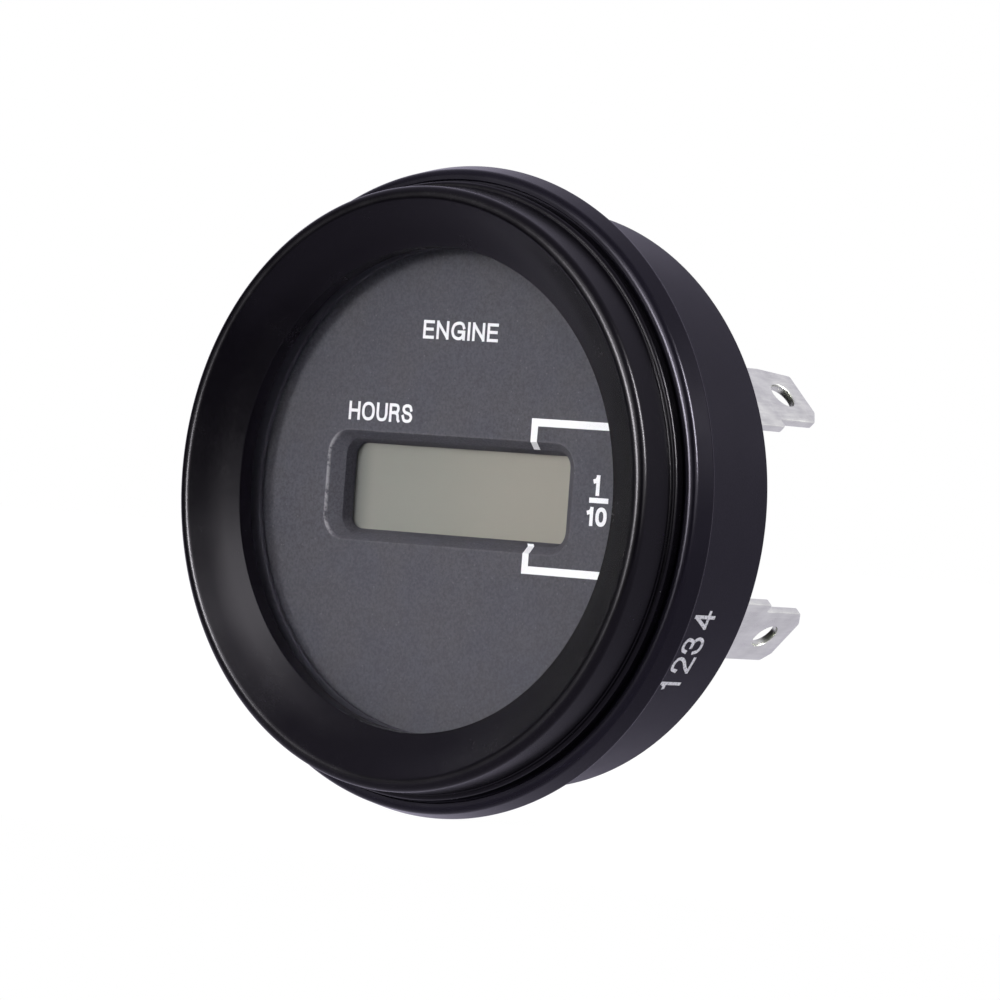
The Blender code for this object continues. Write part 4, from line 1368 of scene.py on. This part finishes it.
@dataclass
class Dial:
    """The dial with its display window, and what is printed on it."""

    radius: float = 23.3
    face: float = -1.2
    back: float = 0.2
    mouth: tuple[float, float, float] = WINDOW_MOUTH
    bevel_end: tuple[float, float, float] = (12.95, 4.25, 1.5)
    bevel_depth: float = 1.0
    window: tuple[float, float, float] = (12.85, 3.85, 1.3)
    well_back: float = 1.1
    skirt_wall: float = 1.85
    skirt_corner: float = 1.4
    boss_circle: float = 19.0
    boss_radius: float = 1.9
    boss_bore: float = 1.0
    boss_floor: float = 1.7
    boss_end: float = 4.3
    boss_angles: tuple[float, ...] = (60.0, 120.0, 240.0, 300.0)
    ink: float = 0.025
    ink_root: float = 0.005
    line_root: float = 0.01
    line_steps: int = 60
    legends: tuple[Legend, ...] = (
        Legend("print_top", "ENGINE", PrintWeight.WORD, -4.2, 4.5, 13.45, 15.1),
        Legend("print_hours", "HOURS", PrintWeight.WORD, -12.2, -4.73, 5.84, 7.50),
        Legend("print_one", "1", PrintWeight.BOLD, 16.46, 17.14, 0.58, 2.38),
        Legend("print_ten", "10", PrintWeight.BOLD, 15.90, 18.22, -2.08, -0.41),
    )

    def plate(self) -> Surface:
        """Mould the dial: rings from the rim over the window's bevel and wall to the back.

        Returns:
            The plate and its four screw bosses.
        """
        skirt = (self.window[0] + self.skirt_wall, self.window[1] + self.skirt_wall,
                 self.skirt_corner)
        rim = (self.radius,) * 3
        corners = [(*rim, self.face), (*self.mouth, self.face),
                   (*self.bevel_end, self.face + self.bevel_depth), (*self.window, self.well_back),
                   (*skirt, self.well_back), (*skirt, self.back), (*rim, self.back)]
        radii = [0.1, 0.10, 0.12, 0.05, 0.1, 0.1, 0.1]
        plate = lofted(rounded(corners, radii, closed=True, facets=6))
        tube = rounded([(AXIS, 0.0), (self.boss_radius, 0.0), (self.boss_radius, self.boss_end),
                        (self.boss_bore, self.boss_end), (self.boss_bore, self.boss_floor),
                        (AXIS, self.boss_floor)], [0.0] * 6)
        for bearing in np.radians(self.boss_angles):
            centre = (self.boss_circle * np.cos(bearing), 0.0, self.boss_circle * np.sin(bearing))
            plate = plate.joined(turned(tube, 40, closed=False).moved(np.eye(3), centre))
        return plate

    def height(self, across: Array, up: Array) -> Array:
        """Follow the printed side: the face, or the bevel above and below the window.

        The bevel's depth grows evenly from nothing at the mouth's edge to its full depth.

        Args:
            across: places across the dial.
            up: places up it.

        Returns:
            The surface's y at each place.
        """
        run = (self.mouth[1] - np.abs(up)) / (self.mouth[1] - self.bevel_end[1])
        inside = np.abs(across) < self.mouth[0] - 1.0
        return self.face + np.where(inside, np.clip(run, 0.0, 1.0), 0.0) * self.bevel_depth

    def ribbon(self, outer: Sequence[Sequence[float]], inner: Sequence[Sequence[float]]) -> Surface:
        """Draw a printed line that follows the dial's relief.

        Both edges are cut into the same even steps between their corners. The section at each
        step is a thin rectangle from just under the surface to the ink's thickness above it.

        Args:
            outer: corners of one edge as (across, up).
            inner: the same number of corners of the other edge.

        Returns:
            The closed ribbon.
        """
        knots = np.linspace(0.0, len(outer) - 1.0, self.line_steps * (len(outer) - 1) + 1)
        corner = np.arange(len(outer))
        edges = [np.column_stack([np.interp(knots, corner, np.asarray(edge)[:, k]) for k in (0, 1)])
                 for edge in (outer, inner)]
        share = np.linspace(0.0, 1.0, 5)[None, :, None]
        top = edges[0][:, None] * (1 - share) + edges[1][:, None] * share
        level = self.height(top[..., 0], top[..., 1])
        above = np.stack([top[..., 0], level - self.ink, top[..., 1]], axis=-1)
        below = np.stack([top[..., 0], level + self.line_root, top[..., 1]], axis=-1)
        return swept(np.concatenate([above, below[:, ::-1]], axis=1), closed=False)

    def print_face(self, material: bpy.types.Material) -> None:
        """Print the words, the tenths mark, the two brackets and the fraction bar.

        Args:
            material: the ink.
        """
        for legend in self.legends:
            slab = legend.slab()
            across, up, height = slab.points.T
            level = self.face + self.ink_root - height * self.ink
            slab.points = np.column_stack([across, level, up])
            add_piece(slab.outward().mesh(legend.name, sharp=SHARP), material)
        lines = {
            "bracket_upper": ([(20.9, 6.97), (9.05, 6.97), (9.05, 4.86), (8.72, 4.25)],
                              [(20.9, 6.29), (9.78, 6.29), (9.75, 4.86), (9.42, 4.25)]),
            "bracket_lower": ([(20.9, -6.70), (9.09, -6.70), (9.09, -4.80), (8.75, -4.05)],
                              [(20.9, -6.02), (9.78, -6.02), (9.78, -4.80), (9.44, -4.05)]),
            "fraction_bar": ([(16.13, 0.39), (18.25, 0.39)], [(16.13, -0.06), (18.25, -0.06)]),
        }
        for name, (outer, inner) in lines.items():
            add_piece(self.ribbon(outer, inner).mesh(name, sharp=30.0), material)

    def build(self, finishes: Finishes) -> None:
        """Build and dress the dial and its print."""
        add_piece(self.plate().mesh("dial"), finishes.dial, ["dial_plate"])
        self.print_face(finishes.ink)


@dataclass
class Insides:
    """The display's stack and the electronics: CAD nodes that stay in view."""

    def build(self, finishes: Finishes) -> None:
        """Dress every node.

        Args:
            finishes: the meter's finishes.
        """
        groups = [
            (finishes.film, ["lcd_front_polariser"]),
            (finishes.foil, ["lcd_reflector"]),
            (finishes.glass, ["lcd_front_glass", "lcd_rear_glass"]),
            (finishes.holder, ["lcd_holder"]),
            (finishes.strip, ["connector_strip_upper", "connector_strip_lower"]),
            (finishes.board, ["circuit_board"]),
            (finishes.can, ["quartz_crystal", "filter_capacitor"]),
            (finishes.epoxy, ["driver_chip", "memory_chip", "diode_1", "diode_2"]),
            (finishes.epoxy, [f"resistor_{i}" for i in range(1, 5)]),
            (finishes.steel, [f"board_screw_{i}" for i in range(1, 5)]),
        ]
        for finish, names in groups:
            for name in names:
                dress_node(name, finish)


class BladePlace(Enum):
    """Which blade: the side of the meter's level that it stands on."""

    UPPER = 1.0
    LOWER = -1.0


@dataclass
class Blade:
    """A flat terminal stamped with a hole and lead-in corners."""

    place: BladePlace
    outer_taper: tuple[float, float]
    width: float = 6.35
    shoulder: float = 0.88
    leg_start: float = 4.1
    leg_width: float = 2.4
    stop_front: float = 7.85
    stop_back: float = 9.65
    stop: float = 1.1
    shoulder_depth: float = 18.45
    tip: float = 24.55
    hole_depth: float = 21.35
    hole_radius: float = 1.3
    coin: float = 0.14
    tip_corner: tuple[float, float] = (1.3, 1.1)

    def outline(self) -> Array:
        """Draw the blade's rounded outline.

        Returns:
            Its points as (across the width, depth behind the panel).
        """
        half, leg = self.width / 2, self.leg_width / 2
        root = half + self.shoulder
        taper_x, taper_y = self.outer_taper
        corners = [(-leg, self.leg_start), (leg, self.leg_start), (leg, self.stop_front),
                   (root, self.stop_front), (root, self.shoulder_depth),
                   (half, self.shoulder_depth), (half, self.tip - self.tip_corner[1]),
                   (half - self.tip_corner[0], self.tip),
                   (-half + taper_x, self.tip), (-half, self.tip - taper_y),
                   (-half, self.shoulder_depth), (-root, self.shoulder_depth),
                   (-root, self.stop_back), (-root - self.stop, self.stop_back),
                   (-root - self.stop, self.stop_front), (-leg, self.stop_front)]
        radii = [0.1, 0.1, 0.2, 0.2, 0.35, 0.25, 0.5, 0.5, 0.3, 0.5, 0.25, 0.35, 0.2, 0.2, 0.2, 0.2]
        return rounded(corners, radii, closed=True, facets=6, hold=0.0)

    def stamped(self, name: str) -> bpy.types.Mesh:
        """Stamp the blade in its own plane, its edges and its hole coined round.

        Args:
            name: the mesh's name.

        Returns:
            The mesh, in the outline's units.
        """
        curve = bpy.data.curves.new(name, "CURVE")
        curve.dimensions = "2D"
        curve.fill_mode = "BOTH"
        curve.extrude = BLADE_THICKNESS / 2 - self.coin
        curve.bevel_depth = self.coin
        curve.bevel_resolution = 3
        curve.offset = -self.coin
        angle = np.linspace(0.0, 2 * np.pi, 64, endpoint=False)
        hole = np.stack([self.hole_radius * np.cos(angle),
                         self.hole_depth + self.hole_radius * np.sin(angle)], axis=1)
        for edge in (self.outline(), hole):
            spline = curve.splines.new("POLY")
            spline.points.add(len(edge) - 1)
            flat = np.column_stack([edge, np.zeros(len(edge)), np.ones(len(edge))])
            spline.points.foreach_set("co", flat.ravel())
            spline.use_cyclic_u = True
        return flat_mesh(name, curve)

    def build(self, finishes: Finishes) -> None:
        """Build, place and dress the blade.

        Its width runs at 45 degrees to the meter's level, its length along Y, and its outer face
        passes through BLADE_CENTRE.

        Args:
            finishes: the meter's finishes.
        """
        name = f"blade_{self.place.name.lower()}"
        mesh = self.stamped(name)
        points = mesh_points(mesh)
        side, root = self.place.value, math.sqrt(0.5)
        across = np.array([root, 0.0, -side * root])
        outward = np.array([root, 0.0, side * root])
        middle = np.array([BLADE_CENTRE[0], 0.0, side * BLADE_CENTRE[1]])
        centre = middle - outward * BLADE_THICKNESS / 2
        placed = (centre + points[:, :1] * across + points[:, 1:2] * np.array([0.0, 1.0, 0.0])
                  - points[:, 2:] * outward * side)
        set_mesh_points(mesh, placed)
        self.tidy(mesh)
        add_piece(mesh, finishes.tin, [f"terminal_{self.place.name.lower()}"])

    @staticmethod
    def tidy(mesh: bpy.types.Mesh) -> None:
        """Weld the stamping's seams and turn its faces outwards.

        Args:
            mesh: the placed blade.
        """
        work = bmesh.new()
        work.from_mesh(mesh)
        bmesh.ops.remove_doubles(work, verts=work.verts, dist=0.002 * MM)
        bmesh.ops.recalc_face_normals(work, faces=work.faces)
        work.to_mesh(mesh)
        work.free()
        mesh.shade_smooth()
        mesh.set_sharp_from_angle(angle=math.radians(SHARP))


@dataclass
class RearCover:
    """The disc that closes the case, with a shallow dish and a slotted boss round each blade."""

    radius: float = 24.3
    front: float = 9.85
    back: float = 11.25
    dish_radius: float = 11.0
    dish_depth: float = 0.4
    boss_height: float = 1.8
    boss_root: float = 0.4
    boss_corner: float = 0.8
    boss_edge: float = 0.25
    slot: tuple[float, float] = (8.51, 1.2)
    slot_corner: float = 0.08
    margin: float = 1.0
    tool_reach: float = 1.0
    limit_gap: float = 0.003

    def disc(self) -> Surface:
        """Turn the disc with its dish, from axis to axis.

        Returns:
            The closed surface.
        """
        floor = self.back - self.dish_depth
        corners = [(AXIS, self.front), (self.radius, self.front), (self.radius, self.back),
                   (self.dish_radius, self.back), (self.dish_radius - self.dish_depth, floor),
                   (AXIS, floor)]
        return turned(rounded(corners, [0.0, 0.2, 0.2, 0.25, 0.25, 0.0], facets=5), closed=False)

    def block(self, half: tuple[float, float, float], start: float, end: float, edge: float,
              side: float) -> Surface:
        """Make a rounded block in line with a blade.

        Args:
            half: half its width, half its thickness and its corners' radius.
            start: y at its front.
            end: y at its back.
            edge: the rounding of its rear edge.
            side: 1 for the upper blade and -1 for the lower one.

        Returns:
            The closed surface.
        """
        small = (half[0] - half[2] + AXIS, half[1] - half[2] + AXIS, AXIS)
        corners = [(*small, start), (*half, start), (*half, end), (*small, end)]
        path = rounded(corners, [0.0, 0.0, edge, 0.0], facets=5)
        root = math.sqrt(0.5)
        basis = np.array([[root, 0.0, -side * root], [0.0, 1.0, 0.0], [root, 0.0, side * root]])
        inset = BLADE_THICKNESS / 2 * root
        place = (BLADE_CENTRE[0] - inset, 0.0, side * (BLADE_CENTRE[1] - inset))
        return lofted(path, 8, closed=False).moved(basis, place).outward()

    def build(self, finishes: Finishes) -> None:
        """Carve and dress the cover: bosses on, all outside the rim off, and the slots through.

        The tools reach past the cover by tool_reach. The limit is wider than the disc by limit_gap
        and has another number of steps, so that no two of their faces lie on each other.

        Args:
            finishes: the meter's finishes.
        """
        slot = (self.slot[0] / 2, self.slot[1] / 2)
        boss = (slot[0] + self.margin, slot[1] + self.margin, self.boss_corner)
        root, end = self.front + self.boss_root, self.back + self.boss_height
        start, stop = self.front - self.tool_reach, end + self.tool_reach
        rim = self.radius + self.limit_gap
        bosses = [("UNION", self.block(boss, root, end, self.boss_edge, place.value))
                  for place in BladePlace]
        limit = rounded([(AXIS, start), (rim, start), (rim, stop), (AXIS, stop)], [0.0] * 4)
        cutter = (*slot, self.slot_corner)
        slots = [("DIFFERENCE", self.block(cutter, start, stop, 0.0, place.value))
                 for place in BladePlace]
        steps = [*bosses, ("INTERSECT", turned(limit, 251, closed=False)), *slots]
        mesh = carved("back_cover", self.disc(), steps)
        add_piece(mesh, finishes.flange, ["rear_cover"])


# Studio -------------------------------------------------------------------------------------------


def sight(azimuth: float, elevation: float) -> Vector:
    """Point from the meter towards a place in the studio.

    Args:
        azimuth: degrees from straight before the dial, growing towards +X.
        elevation: degrees above the meter's level.

    Returns:
        The unit vector (sin a cos e, -cos a cos e, sin e).
    """
    turn, rise = math.radians(azimuth), math.radians(elevation)
    return Vector((math.sin(turn) * math.cos(rise), -math.cos(turn) * math.cos(rise),
                   math.sin(rise)))


class LampUse(Enum):
    """What a lamp does: light the meter, or only show as a line in its gloss."""

    LIGHT = True
    GLOSS_LINE = False


@dataclass(frozen=True)
class Lamp:
    """A soft lamp: where it stands as seen from the meter, its size and how bright its face is."""

    name: str
    azimuth: float
    elevation: float
    distance: float
    size: tuple[float, float]
    brightness: float
    use: LampUse = LampUse.LIGHT

    def light(self) -> None:
        """Add the lamp, facing the meter. Its power is its brightness times pi times its area."""
        data = bpy.data.lights.new(self.name, "AREA")
        data.shape = "RECTANGLE"
        data.size, data.size_y = self.size
        data.energy = self.brightness * math.pi * self.size[0] * self.size[1]
        lamp = bpy.data.objects.new(self.name, data)
        bpy.context.scene.collection.objects.link(lamp)
        ray = sight(self.azimuth, self.elevation)
        lamp.location = ray * self.distance
        lamp.rotation_euler = ray.to_track_quat("Z", "Y").to_euler()
        lamp.visible_camera = False
        lamp.visible_diffuse = self.use.value


@dataclass
class Studio:
    """Camera, lamps, white surroundings and a pale floor."""

    azimuth: float = 39.480
    elevation: float = -0.032
    roll: float = 4.255
    distance: float = 597.0
    shift: tuple[float, float] = (4.645, -0.747)
    aim_depth: float = -1.2
    focal_length: float = 242.46
    floor_level: float = -29.0
    floor_near: float = 60.0
    floor_far: float = 3000.0
    floor_glow: float = 1.075
    floor_share: float = 0.92
    ambient: float = 0.27
    backdrop: tuple[float, float] = (0.10, 0.40)
    ceiling: tuple[float, float] = (0.20, 0.65)
    table: tuple[float, float] = (0.50, 0.66)
    room_dark: float = 0.05
    room_pale: float = 0.80
    gloss_tone: Colour = (0.84, 0.79, 1.0)
    lamps: tuple[Lamp, ...] = (
        Lamp("key", -15.0, 7.0, 1.3, (0.22, 0.20), 42.0),
        Lamp("key_halo", 1.0, 21.0, 1.3, (0.62, 0.56), 7.0),
        Lamp("fill_right", 80.0, 5.0, 1.3, (0.50, 0.50), 6.0),
        Lamp("key_gloss", -15.0, 7.0, 1.3, (0.22, 0.20), 400.0, LampUse.GLOSS_LINE),
        Lamp("halo_gloss", 1.0, 21.0, 1.3, (0.62, 0.56), 40.0, LampUse.GLOSS_LINE),
        Lamp("line_right", 98.0, 27.0, 1.3, (0.12, 0.65), 235.0, LampUse.GLOSS_LINE),
    )

    def add_camera(self) -> None:
        """Add the camera of the photograph.

        Its axes are built from the azimuth and the elevation, then turned by the roll about the
        line of sight. Its place is the dial's middle plus the three distances along them.
        """
        azimuth, roll = math.radians(self.azimuth), math.radians(self.roll)
        right = Vector((math.cos(azimuth), math.sin(azimuth), 0.0))
        back = sight(self.azimuth, self.elevation)
        up = back.cross(right)
        turned_right = right * math.cos(roll) + up * math.sin(roll)
        turned_up = up * math.cos(roll) - right * math.sin(roll)
        place = Vector((0.0, self.aim_depth, 0.0)) + turned_right * self.shift[0]
        place += turned_up * self.shift[1] + back * self.distance
        data = bpy.data.cameras.new("camera")
        data.lens = self.focal_length
        data.sensor_width = 36.0
        data.clip_start = 0.01
        camera = bpy.data.objects.new("camera", data)
        bpy.context.scene.collection.objects.link(camera)
        axes = Matrix((turned_right, turned_up, back)).transposed().to_4x4()
        camera.matrix_world = Matrix.Translation(place * MM) @ axes
        bpy.context.scene.camera = camera

    @staticmethod
    def seen(recipe: Recipe) -> Socket:
        """Tell the rays that see the background from those that light the meter by it.

        Args:
            recipe: the material or world that is written.

        Returns:
            1 for rays from the camera, from gloss and through glass, and 0 for others.
        """
        camera = recipe.node("ShaderNodeLightPath", output="Is Camera Ray")
        glossy, through = camera.beside("Is Glossy Ray"), camera.beside("Is Transmission Ray")
        return camera.most(glossy).most(through)

    def tone(self, recipe: Recipe) -> Socket:
        """Tint the white that gloss shows, and leave it pure for all other rays.

        Args:
            recipe: the material or world that is written.

        Returns:
            The colour.
        """
        glossy = recipe.node("ShaderNodeLightPath", output="Is Glossy Ray")
        return recipe.mix(glossy, (1.0, 1.0, 1.0), self.gloss_tone)

    def add_floor(self) -> None:
        """Add the pale floor under the flange.

        To the eye most of it is an even white glow, and the rest is paint, so its shadow is soft.
        """
        near, far = -self.floor_near, self.floor_far
        corners = np.array([(-far, near, self.floor_level), (far, near, self.floor_level),
                            (far, far, self.floor_level), (-far, far, self.floor_level)])
        mesh = Surface(corners, np.array([[0, 1, 2, 3]])).mesh("floor")
        recipe = Recipe.on_material("floor_pale")
        cloud = recipe.noise(recipe.place(), 300.0, 2.0)
        colour = recipe.mix(cloud, (0.80, 0.80, 0.80), (0.84, 0.84, 0.84))
        paint = recipe.principled(Base_Color=colour, Roughness=0.9, Specular_IOR_Level=0.1)
        glow = recipe.node("ShaderNodeEmission", None,
                           {"Color": self.tone(recipe), "Strength": self.floor_glow})
        share = self.seen(recipe) * self.floor_share
        recipe.finish(recipe.node("ShaderNodeMixShader", None, {0: share, 1: paint, 2: glow}))
        mesh.materials.append(recipe.owner)
        floor = bpy.data.objects.new("floor", mesh)
        bpy.context.scene.collection.objects.link(floor)

    def add_surroundings(self) -> None:
        """Put a white backdrop behind the meter and a dim room in front of it.

        The backdrop, the ceiling and the table each come in between two values of a direction's
        y, z and -z. The backdrop is white to gloss and through glass. In front of it gloss shows a
        dark room between a pale table and a pale ceiling. The camera sees white all round. As a
        light, all of it has the ambient level.
        """
        recipe = Recipe.on_world("surroundings")
        direction = recipe.node("ShaderNodeTexCoord", output="Generated")
        _, y, z = recipe.axes(direction)
        seen = self.seen(recipe)
        white = y.rise(*self.backdrop)
        pale = z.rise(*self.ceiling).most((z * -1.0).rise(*self.table))
        room = pale * (self.room_pale - self.room_dark) + self.room_dark
        level = (white * (1.0 - room) + room) * seen + (1.0 - seen) * self.ambient
        level = level.most(recipe.node("ShaderNodeLightPath", output="Is Camera Ray"))
        recipe.finish(recipe.node("ShaderNodeBackground", None,
                                  {"Color": self.tone(recipe), "Strength": level}))
        bpy.context.scene.world = recipe.owner

    def build(self) -> None:
        """Set the whole studio."""
        self.add_camera()
        self.add_surroundings()
        self.add_floor()
        for lamp in self.lamps:
            lamp.light()
        bpy.context.scene.view_settings.view_transform = "Standard"
        log.info("studio: %d lamps", len(self.lamps))


def main() -> None:
    """Build the meter in order, from the case outwards, then the studio."""
    logging.basicConfig(level=logging.INFO, format="%(name)s: %(message)s")
    finishes = Finishes.mixed()
    parts = (Case(), Bezel(), Glazing(), Dial(), Insides(), RearCover(),
             Blade(BladePlace.UPPER, (0.6, 4.4)), Blade(BladePlace.LOWER, (1.0, 0.8)))
    for part in parts:
        part.build(finishes)
    Studio().build()


if __name__ == "__main__":
    main()
